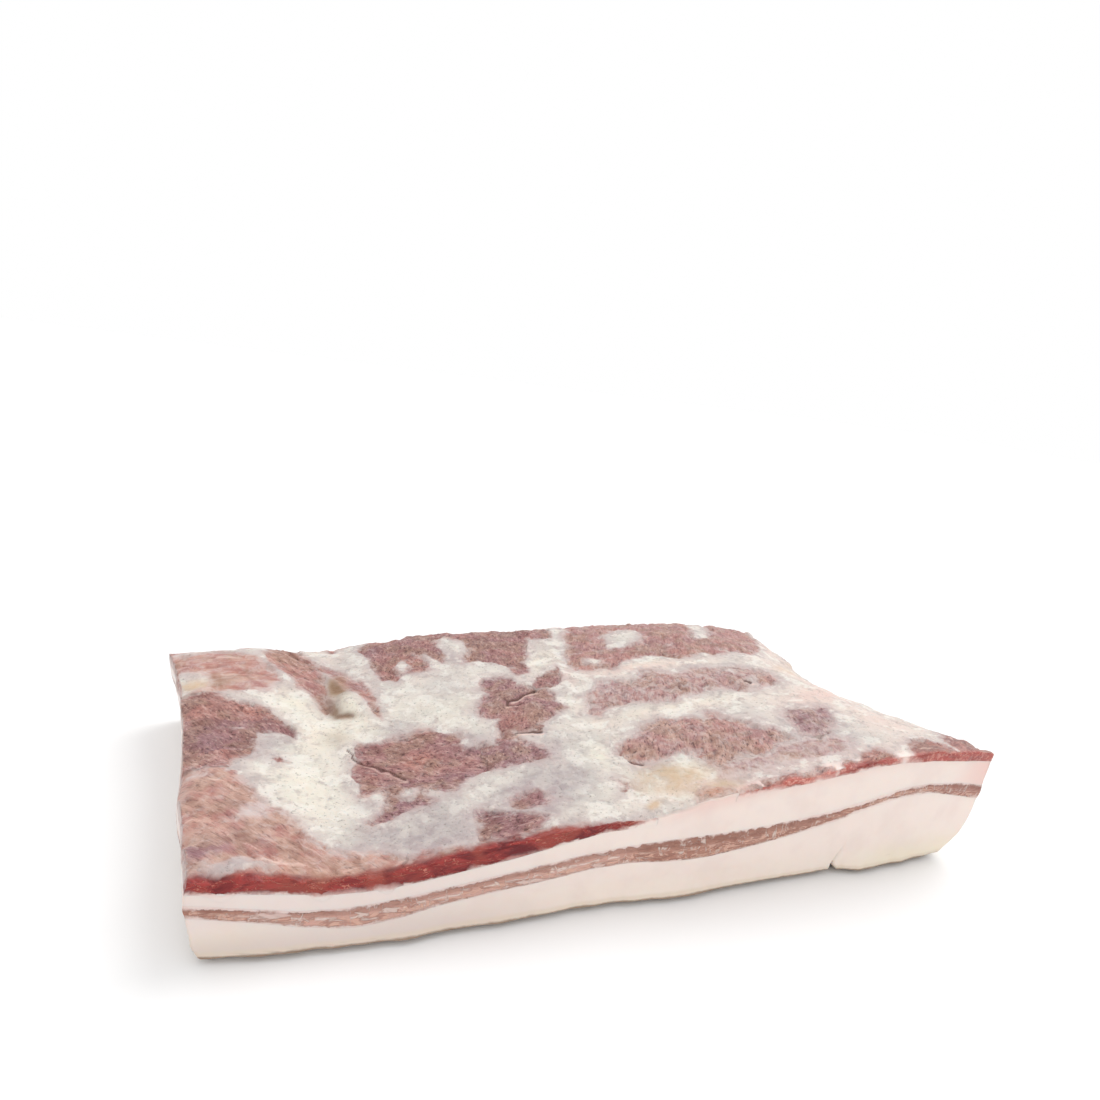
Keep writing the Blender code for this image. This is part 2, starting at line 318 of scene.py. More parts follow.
# %% Muscles of the thin half
# name: tone from mauve 0 to red 1, darkness, pale veil, fibre angle in degrees, how stringy,
# corners
THIN_HALF = {
    "front_strap": (0.75, -0.5, 0.2, -48, 1, (
        (-30, -9), (54, -9), (54, 1.2), (50, 3.4),
        (45, 7), (37, 10), (31, 11), (28, 15), (25, 22), (22, 28), (17, 32), (14, 37), (11, 42),
        (9, 47), (5, 50), (-30, 50))),
    "purple_corner": (0.0, 0.75, 0.0, 10, 0.4, (
        (-14, 7), (-4, 7.4), (2, 8.4), (7, 9), (9.4, 12), (5, 13.4), (-2, 13), (-14, 14))),
    "rim_spill": (1.0, 0.1, 0.0, 5, 0.6, (
        (44, -9), (45, 3.6), (54, 3.6), (60, 3.3), (66, 3.1), (72, 3.0), (80, 2.9),
        (87, 2.5), (95, 1.5), (106, 0.8), (115, 0.4), (121, -9))),
    "left_low": (0.8, 0.3, 0.04, -62, 0.5, (
        (-30, 48), (7, 49), (9, 53), (13, 55), (15.5, 60), (15, 64), (-30, 60))),
    "left_dark": (0.1, 0.45, 0.06, -62, 0.35, (
        (-30, 53), (11, 55), (13, 55), (15.5, 60), (14, 67), (15, 71), (20, 71.5), (26, 69),
        (26, 74), (23, 80), (-30, 86))),
    "left_brown": (0.6, 0.3, 0.08, -62, 0.35, (
        (-30, 78), (8, 77), (24, 76), (23, 80), (19, 86), (13, 90), (6, 92), (3, 97), (-30, 97))),
    "back_left": (0.95, -0.3, 0.3, 4, 1, (
        (-30, 98), (0, 97), (9, 98), (20, 100), (22.5, 107), (22, 115), (18, 122), (12, 129),
        (7, 132), (-6, 130.5), (-11, 132), (-12, 150), (-30, 150))),
    "back_left_rim": (0.7, -0.1, 0.4, 2, 1, (
        (-14, 132), (4, 133), (9, 136), (10, 150), (-30, 150), (-30, 128))),
    "strap_one": (0.75, -0.05, 0.12, -58, 1, (
        (17, 150), (29, 150), (31, 130), (34, 124), (38, 118), (38, 108), (37.2, 98), (37.4, 90),
        (38, 87.4), (36.4, 86), (34, 90), (32, 97), (28.5, 103), (27, 109),
        (24, 115), (20, 121), (17.5, 128), (21, 133))),
    "strap_two": (0.65, 0.0, 0.15, -56, 1, (
        (27.5, 134), (31, 130), (36, 124), (40, 117.5), (45, 112), (49, 106), (52.5, 99), (53, 90),
        (54, 81), (53.6, 73.5), (51.5, 77), (50, 84), (48.8, 90), (46.5, 95), (44.6, 98), (43.6, 102),
        (41.4, 107.5), (37.4, 116), (32, 123), (28, 129))),
    "red_spot": (0.9, 0.5, 0.0, 80, 0.5, (
        (40.6, 150), (44.5, 150), (44, 133.5), (42.5, 131.2), (40.8, 132.5))),
    "upper_left": (0.45, 0.32, 0.05, 78, 0.2, (
        (51.9, 128.9), (53.9, 124.7), (54.8, 116.9), (55.5, 107.7), (56.9, 102.6), (60, 102.5),
        (62, 100.1), (66.9, 104.3), (70.7, 103.9), (74.6, 103.8), (75.1, 108.9), (73.8, 112.5),
        (71.7, 117.5), (75, 116.5), (77.1, 111.5), (80.1, 106.8), (81.4, 109.1), (81.2, 114.5),
        (81, 120.8), (80.8, 125.1), (80.8, 127.7), (84.8, 129), (90.5, 125.9), (91.8, 120),
        (91.6, 116.9), (89.1, 113), (87.4, 110), (87.3, 105.2), (90.2, 106.8), (93.3, 106.9),
        (97.8, 104.1), (100.5, 102.6), (102.8, 99.9), (102.9, 93), (104.2, 92.2), (108.4, 94.4),
        (110.1, 98.8), (111.5, 106.9), (113.4, 108.6), (116.2, 116.7), (118.4, 126.6),
        (120.1, 122.9), (126.9, 124.6), (130.3, 129.5), (131.3, 150), (56, 150), (56.5, 136))),
    "tongue": (0.35, 0.42, 0.05, 55, 0.2, (
        (121, 99), (118, 95), (114, 92), (110, 88.5), (107.5, 85), (107, 82), (111, 81.5), (115, 82),
        (118.5, 85), (120, 91))),
    "column": (0.32, 0.18, 0.1, 70, 0.15, (
        (92.3, 92.9), (98.2, 92.3), (101, 89.9), (102.4, 86.1), (105.9, 84.6), (108.6, 82),
        (111.5, 81), (113.5, 76), (112, 71), (114, 65), (109, 60),
        (105, 58.5), (102, 57.5), (100.8, 52.3), (92, 53.4), (92.5, 49.7), (94.9, 47.5),
        (96.9, 45.3), (99.8, 40.6), (98, 35.2), (93.7, 35.3), (89.6, 35.8), (84.9, 36.7),
        (81.2, 35.2), (77.1, 35.1), (74.2, 40.1), (74.5, 46.3), (77.3, 47.7), (78.4, 50.4),
        (81, 50.7), (83.1, 48.8), (84.9, 51.4), (86.5, 54.8), (86.7, 58.8), (89.3, 61.9),
        (83.2, 66.3), (82.4, 68.8), (86.6, 76.2), (89, 81.8), (88.4, 86.1))),
    "central": (0.3, 0.14, 0.08, -38, 0.25, (
        (41.2, 59.3), (43.9, 61.7), (47.6, 62.1), (53.6, 60.5), (55.8, 61.2), (60.2, 62.5),
        (65, 63.4), (68, 61.4), (70.9, 58.6), (74.9, 57.3), (75.6, 54.9), (73.7, 51.9),
        (75.1, 48.8), (78.3, 48.1), (82.6, 46.6), (86.4, 42.1), (84.9, 36.7), (81.2, 35.2),
        (77.1, 35.1), (71.8, 33.1), (69.1, 30.2), (67, 28.3), (64, 28.6),
        (61.5, 31), (60, 28), (61, 26.5), (57, 24), (53, 23), (50, 22.3), (48, 20.5), (43, 20.2),
        (41.6, 21.3), (44, 24), (46.5, 28), (48, 31), (46.5, 34), (42.8, 33.6), (41, 35),
        (41.6, 40), (40.6, 46), (41.5, 51), (42, 54))),
    "central_flap": (0.55, 0.25, 0.1, 0, 0.5, (
        (55.6, 60.6), (58, 62.6), (62, 64.3), (66.5, 63), (69, 60.3), (64, 59.2), (59, 59.8))),
    "front_purple": (0.1, 0.45, 0.08, 10, 0.3, (
        (69.4, 16.4), (71.6, 16.8), (77.3, 14.4), (83, 12.4), (86.6, 9.8), (88.8, 7.8), (87, 5.4),
        (84.8, 3.6), (82.6, 3), (78.2, 2.4), (74, 2.6), (70.4, 2.6), (67.2, 4.2), (68.1, 7.4),
        (68.7, 9.8), (68.7, 12.5))),
    "front_purple_two": (0.1, 0.35, 0.1, 20, 0.3, (
        (80.4, 17.5), (84.3, 19.9), (88.4, 21.3), (91.7, 19.0), (92.7, 14.8), (90.5, 13.2),
        (86.5, 13.1), (82.9, 13.1), (80.9, 14.5))),
    "small_arc": (0.6, 0.1, 0.25, 60, 0.5, (
        (112, 12.6), (114.3, 15.6), (112.6, 20.5), (115, 18.4), (115.8, 15.2), (114, 13))),
    "small_flecks": (0.3, 0.3, 0.1, 30, 0.3, (
        (19.5, 55.5), (21.2, 56.5), (22.8, 53), (20.2, 52.4))),
}
print(len(THIN_HALF), "muscles on the thin half")

# %% [markdown]
# Muscles of the thick half
#
# Here the ribs lay on the meat. Between them it swelled into long cushions, so the outlines are
# ovals side by side. Along the cut a fringe of red shows where the sheet of lean comes up to the
# edge. CALM says which muscles look blurred, and how smooth their surface is.

# %% Muscles of the thick half
THICK_HALF = {
    "front_freckle": (0.9, -0.35, 0.3, 20, 0.3, (
        (130, 1.5), (131, 5.5), (137, 6.5), (143, 3.5), (142, 1.2))),
    "oval_one": (0.55, -0.28, 0.26, 72, 0.5, (
        (118, 33.5), (121, 38.5), (125.5, 39), (128, 43), (132, 45.5), (137, 46.5), (140, 48.5),
        (144, 46), (150, 46), (153, 42), (157, 47), (161, 46.5), (160, 41), (163.5, 38), (166.5, 36),
        (166, 33), (170, 30.5), (174, 28.5), (175, 22), (170, 20), (165, 17), (158, 15), (152, 17),
        (148, 14), (143, 13), (141, 20), (140.5, 24), (137, 25.5), (131, 24.6), (125, 23.6),
        (121, 27.5))),
    "oval_one_right": (0.12, 0.05, 0.32, 72, 0.4, (
        (178, 22), (179, 29), (181, 36), (184, 40.5), (188, 42.5), (191, 40), (196.5, 39.6),
        (199, 38), (198.5, 33), (196, 29), (192, 24), (186, 20.5), (181, 20.5))),
    "oval_one_front": (0.3, -0.15, 0.5, 70, 0.6, (
        (142, 8), (143, 14), (150, 18), (160, 16), (172, 20), (181, 21.5), (188, 19), (192, 14),
        (188, 9.5), (176, 8), (160, 8.5), (150, 7))),
    "oval_two": (0.4, -0.1, 0.42, 70, 0.5, (
        (120.5, 60), (121.5, 67), (124, 72), (128.5, 76.5), (133, 80.5), (138, 80.5), (143, 78),
        (147, 80.5), (149.5, 84.5), (153, 84), (158, 81), (163, 79), (168, 79.5), (171.5, 83.5),
        (176, 82), (181, 79.5), (186.5, 81), (191.5, 79.5), (196.5, 76.5), (200, 71), (199, 65),
        (195, 60.5), (189, 59), (185, 57), (179, 57), (173, 60.5), (166, 62), (160, 59.5),
        (153, 58), (146, 59), (140, 60.5), (134, 60.5), (128, 59.5), (124, 57))),
    "oval_three": (0.62, 0.08, 0.18, 66, 0.55, (
        (126.3, 93), (126, 99), (127.5, 105), (130, 112), (131.5, 119), (134, 126), (136.5, 132),
        (138, 150), (190, 150), (232, 150), (229.5, 136), (228, 128), (225, 120), (221, 112),
        (216.5, 105), (211, 99), (206, 94.5), (202.5, 93), (200, 98), (196.5, 98), (192, 94),
        (188, 93.5), (182, 96), (176, 93.5), (170, 92), (165, 96), (160, 99), (154, 97), (148, 96),
        (143.5, 92.5), (141, 89.5), (136, 91), (131, 91.5))),
    "edge_brown": (0.95, -0.1, 0.3, 60, 0.5, (
        (230.5, 95), (232.5, 91.5), (250, 91), (250, 110), (235, 110), (233, 106), (232.5, 101))),
    "heel_front": (0.9, 0.36, 0.05, 20, 0.5, (
        (203.4, -9), (204.6, 3), (207, 7), (212, 9.4), (218, 9.6), (222.5, 6.5), (223.4, -9))),
    "heel_corner": (0.9, 0.4, 0.05, 35, 0.5, (
        (223.4, -9), (224.4, 6), (227, 12), (231, 16.5), (236, 17), (250, 13), (250, -9))),
    "fringe_one": (1.0, 0.1, 0.1, 30, 0.5, (
        (142.5, -9), (144, 1.4), (147.5, 2.2), (149, 0.6), (149.3, -9))),
    "fringe_two": (1.0, 0.15, 0.1, 30, 0.5, (
        (149.8, -9), (151, 1.6), (154, 3.4), (157, 2.6), (160, 3.6), (164, 2.4), (168, 1.5),
        (171, 2.6), (174.6, 1.2), (175.4, -9))),
    "fringe_three": (1.0, 0.15, 0.05, 30, 0.5, (
        (176.6, -9), (178, 1.8), (181, 3.6), (184, 2.4), (187, 3.2), (190, 6.2), (193, 5),
        (195.8, 6.4), (197.6, 3), (198.6, -9))),
}
MUSCLES = {**THIN_HALF, **THICK_HALF}
CALM = {"back_left": 0.75, "back_left_rim": 0.8, "front_strap": 0.45, "strap_one": 0.25,
        "strap_two": 0.25, "oval_three": 0.3, "oval_one_front": 0.4, "edge_brown": 0.4,
        "heel_front": 0.4, "heel_corner": 0.4, "purple_corner": 0.4, "rim_spill": 0.5}
print(len(MUSCLES), "muscles in all,", len(CALM), "of them calm")

# %% [markdown]
# Windows, cracks and threads
#
# Three things lie over the muscles. Windows are spots of fat inside an outline. Cracks are folds
# where two muscles part, with a width and a depth, darkened with painted shade and with a painted
# highlight on the lip in front. Threads are thin pale films of tissue that cross the lean.

# %% Windows, cracks and threads
WINDOWS = {
    "grey_island": ((64.5, 112.7), (66.5, 113.5), (68.2, 110.2), (66.9, 105.4), (64.6, 104.8),
                    (63.4, 109.4)),
    "glint": ((2.4, 3.2), (5, 5.6), (9.4, 7), (13, 6), (18, 4), (13.4, 3.2), (9, 2.6), (5, 2.6)),
    "rim_fat": ((-14, 97.6), (-4, 97.2), (0, 100), (0.6, 106), (-2, 111.6), (-7, 113), (-14, 113)),
    "central_spot": ((52, 31), (54, 34), (56.2, 31.6), (54.4, 30)),
    "oval_nub": ((133, 98), (134, 100.4), (137, 101), (139.6, 99), (139, 96.4), (136, 95.4)),
    "oval_three_veil": ((146, 109), (150, 121), (158, 127), (166, 124), (164, 114), (157, 107)),
    "oval_three_band": ((187, 112), (192, 124), (199, 137), (206, 137), (200, 124), (194, 112)),
    "oval_two_spot": ((182.4, 76), (184, 78), (186.2, 77.2), (184.6, 74.6)),
    "oval_two_slit": ((184, 62), (185.6, 67), (187.4, 67), (186, 61.6), (183.6, 59)),
}
# Cracks and folds, darkened with painted shade: width, depth, corners
CRACKS = (
    (0.9, 1.1, ((40.6, 60), (41.4, 55), (45, 50.4), (50, 45), (54.4, 39.8))),
    (0.8, 0.7, ((55, 51), (60, 46), (65, 41), (70, 37.4))),
    (0.8, 0.6, ((48, 56), (56, 50), (62, 49))),
    (1.3, 1.8, ((94.6, 71.5), (96, 74.6), (100, 76), (103.6, 79), (107, 80.4))),
    (0.9, 1.0, ((95, 71.6), (99, 71))),
    (1.0, 0.6, ((37.8, 90), (38.6, 85.4), (40.6, 81.4), (44.6, 79.2))),
    (0.9, 1.3, ((92, 53.6), (96, 52.8), (100.6, 51.8))),
    (0.9, 1.0, ((120.6, 28.6), (122, 26.6), (124.4, 25))),
    (1.0, 1.2, ((184, 66.4), (185.4, 63.4))),
    (0.8, 0.7, ((-8, 121), (-4, 116))),
    (0.8, 0.7, ((38.4, 111), (38, 104), (37.4, 97), (36.6, 91))),
    (0.7, 0.6, ((49.4, 104), (51, 98), (49.4, 92), (49.6, 86), (52.4, 77))),
    (0.7, 0.5, ((25.4, 70), (27.2, 66))),
    (0.7, 0.5, ((41.6, 20.8), (47.6, 20.2))),
    (0.8, 0.6, ((15, 59), (14.6, 55))),
    (0.6, 0.5, ((0, 43.6), (6, 38.8), (12, 34), (19, 30))),
    (0.6, 0.5, ((14, 31), (20, 24), (25, 17), (29, 11))),
    (0.6, 0.4, ((2, 21), (10, 15), (20, 10))),
    (0.8, 0.6, ((46, 118), (48, 110), (48.6, 106))),
    (0.8, 0.5, ((209, 61), (222, 71), (234, 82))),
    (0.7, 0.6, ((154, 99.6), (156, 98.4))),
)
# Pale threads that lie on the lean: width, strength, corners
THREADS = (
    (0.6, 0.9, ((14, 8), (19, 6.4), (24, 4.6), (31, 3.6), (41, 3.2), (50, 2.8))),
    (0.7, 0.8, ((-9, 50), (-2, 46), (5, 41), (11, 35.4), (15.4, 31.6))),
    (0.5, 0.7, ((4, 19), (11, 14), (18, 8.4), (25, 3.2))),
    (0.5, 0.6, ((-9, 29), (-1, 24), (7, 18), (13, 13))),
    (0.5, 0.6, ((14, 26), (21, 18.4), (28, 9.6), (34, 3))),
    (0.5, 0.5, ((28, 13), (36, 8), (46, 3))),
    (0.5, 0.5, ((-10, 18), (-3, 14.6), (4, 14.4))),
    (0.7, 0.7, ((19, 127), (25, 119), (30, 109), (33.4, 100))),
    (0.6, 0.6, ((23, 131), (29, 122), (35, 113), (36.6, 103))),
    (0.6, 0.6, ((31, 129), (38, 119), (46, 109), (50, 100))),
    (0.8, 0.7, ((-12, 127), (0, 126), (14, 124.6))),
    (0.7, 0.5, ((-12, 111), (0, 110.4), (12, 111), (19, 110))),
    (0.6, 0.5, ((48.6, 89), (51, 82), (53, 75), (56, 70))),
    (0.5, 0.6, ((41, 34.6), (46, 34.4), (48.4, 32))),
    (0.6, 0.5, ((124, 60), (134, 61.6), (146, 60.6))),
    (0.7, 0.7, ((223.6, 0), (226, 6), (231, 12))),
    (0.6, 0.7, ((205, 2.6), (213, 3.2), (221, 1.6))),
)
print(len(WINDOWS), "windows of fat,", len(CRACKS), "cracks and", len(THREADS), "threads")

# %% [markdown]
# Coloured places
#
# Fat isn't one white. It is yellow where it has oxidised, brown-green in one old stain, cream on
# the thin half, lavender where lean lies just under it and pink on the thick half. The same
# brown-green is painted shadow at the foot of the nub. Each place is a soft oval, like a dab of
# paint. Four more sets of dabs tint the lean.

# %% Coloured places
# (x, y, half length, half width, turn), how strong
FAT_PLACES = {
    "yellow": (
        ((-4, 103, 5, 8, 80), 1.0), ((41.3, 101, 3.4, 8, 0), 1.6),
        ((130, 15, 17, 9, -20), 0.8), ((126, 19, 6, 3, -20), 0.5),
        ((216, 84, 20, 7, 42), 0.7), ((232, 99, 5, 5, 0), 0.7), ((168, 12, 6, 3, 0), 0.5),
        ((136, 3.5, 9, 3, 0), 0.6), ((118.4, 5, 3, 2, 30), 1.0), ((12, 125, 16, 5, 5), 0.35),
        ((4, 96, 8, 20, 0), 0.3), ((24, 3.5, 18, 2.6, -8), 0.45), ((134, 8, 20, 8, -28), 0.4),
    ),
    # Green: old stains, and painted shadow in the two dabs left of the nub and in front of it
    "green": (
        ((5, 105, 4, 4, 0), 0.8), ((41.6, 101, 4.4, 9.5, 0), 1.3), ((38.6, 87, 2.2, 7, 15), 1.3),
        ((42, 80.4, 4, 1.7, -20), 1.2), ((38, 67, 5, 6, 0), 0.4),
    ),
    "cream": (
        ((27, 40, 12, 26, 0), 0.8), ((28, 92, 14, 12, -40), 1.0), ((45, 75, 18, 12, 0), 0.8),
        ((32, 68, 9, 10, 0), 0.8), ((75, 75, 14, 10, 0), 0.5), ((114, 34, 6, 8, 0), 0.9),
        ((116, 103, 12, 6, 40), 1.0), ((113, 67, 8, 8, 0), 0.5), ((150, 54, 40, 5, 0), 0.8),
        ((150, 90, 30, 5, 0), 0.7), ((104, 8, 14, 7, 0), 0.15), ((36, 134, 6, 6, 0), 0.8),
        ((136, 18, 6, 6, 0), 0.7), ((44, 88, 5, 8, 0), 0.6), ((128, 7, 18, 4.5, -28), 0.9),
    ),
    "lavender": (
        ((19, 66, 6, 7, 0), 0.9), ((17, 55, 6, 5, 0), 0.7), ((47, 122, 5, 15, 10), 0.3),
        ((57, 68, 6, 7, 0), 0.8), ((43.5, 29, 5, 4, 0), 0.8), ((60, 22, 12, 5, 20), 0.6),
        ((84, 112, 4, 12, 0), 0.6), ((102, 45, 6, 9, 0), 0.7), ((172, 38, 10, 10, 0), 0.2),
        ((77, 88, 12, 12, 0), 0.5), ((100, 24, 10, 8, 0), 0.4), ((80, 54, 6, 3, 0), 0.6),
        ((86, 10, 8, 5, 0), 0.5), ((8, 5, 9, 2.6, 10), 0.9), ((64, 8, 10, 6, 0), 0.4),
        ((190, 14, 14, 8, 0), 0.5), ((120, 120, 4, 8, 0), 0.5), ((60, 12, 16, 8, 0), 1.0),
        ((96, 24, 12, 12, 40), 0.9), ((44, 14, 8, 6, 0), 0.7), ((108, 118, 6, 12, 0), 0.4),
        ((88, 15, 10, 8, 0), 0.8), ((83, 22, 12, 5, 10), 0.9), ((54, 6, 9, 5, 0), 0.7),
    ),
    "pink": (
        ((205, 50, 30, 10, 20), 0.9), ((218, 74, 18, 22, 30), 0.9), ((150, 88, 40, 6, 0), 0.8),
        ((150, 52, 40, 6, 0), 0.3), ((215, 28, 18, 20, 0), 0.7), ((165, 7, 50, 5, 0), 0.7),
        ((122, 75, 5, 60, 0), 0.25), ((12, 101, 14, 6, 0), 0.6), ((68, 98, 8, 4, 0), 0.25),
        ((225, 115, 8, 26, 0), 0.8), ((30, 70, 4, 10, 0), 0.25), ((42, 128, 6, 10, 0), 0.4),
        ((138, 7, 16, 5, -25), 0.4),
    ),
}
# Shades inside the lean
MAUVE = (
    ((-1, 10.5, 10, 3.6, 5), 1.2), ((62, 33, 12, 6, 0), 0.7), ((8, 68, 12, 7, 0), 0.6),
    ((95, 42, 12, 6, 0), 0.8), ((48, 27, 6, 8, 0), 0.5), ((94, 90, 7, 6, 0), 0.7),
    ((188, 32, 12, 12, 0), 0.6), ((105, 118, 12, 12, 0), 0.3),
)
BROWN = (
    ((27, 17, 4, 12, -35), 0.9), ((33, 10, 8, 3, -15), 0.8), ((60, 47, 14, 5, -30), 0.6),
    ((46, 42, 6, 8, 0), 0.5), ((18, 84, 9, 5, -20), 0.7), ((98, 66, 8, 8, 0), 0.5),
    ((66, 114, 10, 10, 0), 0.5), ((104, 112, 8, 12, 0), 0.4), ((20, 50, 6, 12, -40), 0.5),
)
DARKER = (
    ((-1, 10.5, 10, 3.6, 5), 0.7), ((27, 17, 4, 12, -35), 0.45), ((10, 66, 10, 5, -40), 0.3),
    ((46, 57, 6, 4, 0), 0.4), ((22, 79, 5, 6, 40), 0.4), ((35, 104, 3, 14, 15), 0.5),
    ((210, 5, 10, 5, 0), 0.4), ((232, 9, 8, 7, 0), 0.5),
)
FILM = (((13.5, 27, 3.6, 6, -50), 0.8), ((-1, 45.5, 6, 1.6, -15), 0.6), ((10, 74, 4, 1.6, -15), 0.6),
        ((-8, 78, 3, 5, 0), 0.5), ((57, 32, 4, 3, 0), 0.5), ((92, 50, 5, 3, 0), 0.3))
print(sum(len(places) for places in FAT_PLACES.values()), "dabs of colour in the fat")

# %% [markdown]
# From outlines to distances
#
# The signed distance to an outline is positive inside and negative outside. It tells, at any
# point, how deep in the lean or in the fat it lies. Before it is measured, the point is pushed
# about by noise, and this frays the border.

# %% Distances
FRAY = ((6.0, 1.1), (2.4, 0.55), (1.1, 0.25))


def frayed(x, y):
    for k, (size, amount) in enumerate(FRAY):
        x, y = x + amount * noise(x, y, size, 11 + k), y + amount * noise(x, y, size, 21 + k)
    return x, y


def squared_distance(x, y, start, end):
    """From every point to one straight stretch of a line."""
    (x0, y0), (x1, y1) = start, end
    dx, dy = x1 - x0, y1 - y0
    t = np.clip(((x - x0) * dx + (y - y0) * dy) / (dx * dx + dy * dy), 0, 1)
    return (x - x0 - t * dx) ** 2 + (y - y0 - t * dy) ** 2


def inside_distance(x, y, corners):
    corners = np.array(corners, float)
    nearest = np.full(x.shape, 1e9)
    inside = np.zeros(x.shape, bool)
    for (x0, y0), (x1, y1) in zip(corners, np.roll(corners, -1, 0)):
        nearest = np.minimum(nearest, squared_distance(x, y, (x0, y0), (x1, y1)))
        crossing = ((y0 > y) != (y1 > y)) & (x < (x1 - x0) * (y - y0) / (y1 - y0 + 1e-12) + x0)
        inside ^= crossing
    return np.where(inside, 1.0, -1.0) * np.sqrt(nearest)


def line_distance(x, y, corners):
    nearest = np.full(x.shape, 1e9)
    for start, end in zip(corners[:-1], corners[1:]):
        nearest = np.minimum(nearest, squared_distance(x, y, start, end))
    return np.sqrt(nearest)


def patches(x, y, places):
    """Soft coloured places, summed and limited to one."""
    total = np.zeros(x.shape)
    for (middle_x, middle_y, half_length, half_width, turn), strength in places:
        c, s = math.cos(math.radians(turn)), math.sin(math.radians(turn))
        a = ((x - middle_x) * c + (y - middle_y) * s) / half_length
        b = ((y - middle_y) * c - (x - middle_x) * s) / half_width
        total += strength * np.exp(-1.4 * (a * a + b * b))
    return np.clip(total, 0, 1)


sample = inside_distance(np.array([60.0]), np.array([45.0]), MUSCLES["central"][-1])
print("the point (60, 45) lies", round(float(sample[0]), 1), "mm inside the central muscle")

# %% [markdown]
# The mosaic at any point
#
# Now any point of the top can be asked what it is. The nearest muscle gives its colour and the
# run of its fibres, the windows cut holes in it, and cracks and threads are laid over both.
# The answers are a dozen plain numbers, which the finish turns into colour later.

# %% Mosaic
MUSCLE_LOOKS = ("tone", "dark", "veil", "angle", "strand", "calm")
DEEP_CRACK = 1.2


def draw_lines(x, y, looks):
    """Painted crack shade is positive, threads and painted lip light negative; carve is how deep a
    crack cuts, in mm.
    """
    looks["crack"] = np.zeros(x.shape)
    looks["carve"] = np.zeros(x.shape)
    wx, wy = x + 0.7 * noise(x, y, 3.0, 31), y + 0.7 * noise(x, y, 3.0, 32)
    lip_light_and_threads = np.zeros(x.shape)
    for width, depth, corners in CRACKS:
        near = np.exp(-(line_distance(wx, wy, corners) / width / 0.7) ** 2)
        # The lip in front of each crack gets a painted highlight
        beside = np.exp(-(line_distance(wx, wy + width * 1.2, corners) / width) ** 2)
        looks["crack"] = np.maximum(looks["crack"], near * min(depth, DEEP_CRACK) / DEEP_CRACK)
        looks["carve"] = np.maximum(looks["carve"], near * depth * 0.5)
        lip_light_and_threads = np.maximum(lip_light_and_threads, beside * min(depth, DEEP_CRACK) / 1.5)
    broken = 0.65 + 0.7 * noise(x, y, 3.4, 33)
    for width, strength, corners in THREADS:
        near = np.exp(-(line_distance(wx, wy, corners) / width / 0.8) ** 2)
        lip_light_and_threads = np.maximum(lip_light_and_threads, strength * np.clip(broken, 0, 1) * near)
    looks["crack"] -= lip_light_and_threads * (1 - looks["crack"])


def mosaic(x, y):
    """What lies at a point of the top: distance into the lean, its looks and its fibres."""
    fx, fy = frayed(x, y)
    best = np.full(x.shape, -1e9)
    looks = {key: np.zeros(x.shape) for key in MUSCLE_LOOKS}
    for name, (*values, corners) in MUSCLES.items():
        distance = inside_distance(fx, fy, corners)
        nearer = distance > best
        best = np.maximum(best, distance)
        for key, value in zip(MUSCLE_LOOKS, values + [CALM.get(name, 0.0)]):
            looks[key] = np.where(nearer, value, looks[key])
    for corners in WINDOWS.values():
        best = np.minimum(best, -inside_distance(fx, fy, corners))
    looks["lean"] = best
    looks["tone"] = np.clip(looks["tone"] - patches(x, y, MAUVE) + patches(x, y, BROWN), 0, 1)
    looks["dark"] = looks["dark"] + patches(x, y, DARKER)
    looks["veil"] = looks["veil"] + patches(x, y, FILM)
    for name, places in FAT_PLACES.items():
        looks[name] = patches(x, y, places)
    draw_lines(x, y, looks)
    return looks


grid_x, grid_y = np.meshgrid(np.arange(0.0, 240.0, 2.0), np.arange(0.0, 137.0, 2.0))
lean_share = (mosaic(grid_x, grid_y)["lean"] > 0).mean()
print("lean covers", round(100 * lean_share), "% of the top")

# %% [markdown]
# Relief of the rib side
#
# Cured lean dries and sinks a little below the fat, and its fibres stand up in fine ridges.
# Fat stays in soft lumps. The nub of fat in the fold stands proud, with a shadow at its foot.

# %% Relief
# The nub of fat in the fold: its middle, half width and half length
NUB = (44.6, 88.5, 4.2, 8.4)
NUB_HEIGHT = 1.0
SINK, PIT_DEPTH = 0.4, 1.4
RIDGE_HEIGHT, LUMP_HEIGHT = 0.55, 0.45
CUSHION_RISE, CUSHIONS_FROM = 0.45, 116
RIM_DROP, RIM_WIDTH = 0.7, 1.3


def relief(x, y, looks):
    lean = step(looks["lean"] / 0.9 + 0.5)
    c, s = np.cos(np.radians(looks["angle"])), np.sin(np.radians(looks["angle"]))
    along = (x * c + y * s) / (1.2 + 3.5 * looks["strand"])
    across = y * c - x * s
    bumps = RIDGE_HEIGHT * layered(along, across, 2.6, 41, 4) + 0.4 * noise(along, across, 5.5, 45)
    pits = PIT_DEPTH * np.clip(layered(along, across, 2.0, 47) - 0.2, 0, 1)
    lean_height = bumps - pits - SINK + 0.2 * layered(x, y, 9.0, 51)
    lumps = LUMP_HEIGHT * layered(x, y, 7.0, 55, 4) + 0.12 * noise(x, y, 1.6, 58)
    lumps -= 0.5 * np.clip(noise(x, y, 2.1, 59) - 0.5, 0, 1)
    height = lean_height * lean + lumps * (1 - lean)
    height += CUSHION_RISE * step(looks["lean"] / 7.0) * (x > CUSHIONS_FROM)
    reach = ((x - NUB[0]) / NUB[2]) ** 2 + ((y - NUB[1]) / NUB[3]) ** 2
    height += NUB_HEIGHT * np.clip(1 - reach, 0, 1) ** 0.6
    rim = np.exp(-(np.clip(y, 0, None) / RIM_WIDTH) ** 2)
    height -= RIM_DROP * rim * step((x - 105) / 15)
    return height - looks["carve"]


def top_of(x, y):
    """Height of the finished top, and the looks of the mosaic there."""
    looks = mosaic(x, y)
    return crest(x, y) + relief(x, y, looks), looks


middle_line, _ = top_of(XS, np.full(XS.shape, 60.0))
print("the top rises from", round(middle_line.min(), 1), "to", round(middle_line.max(), 1), "mm")

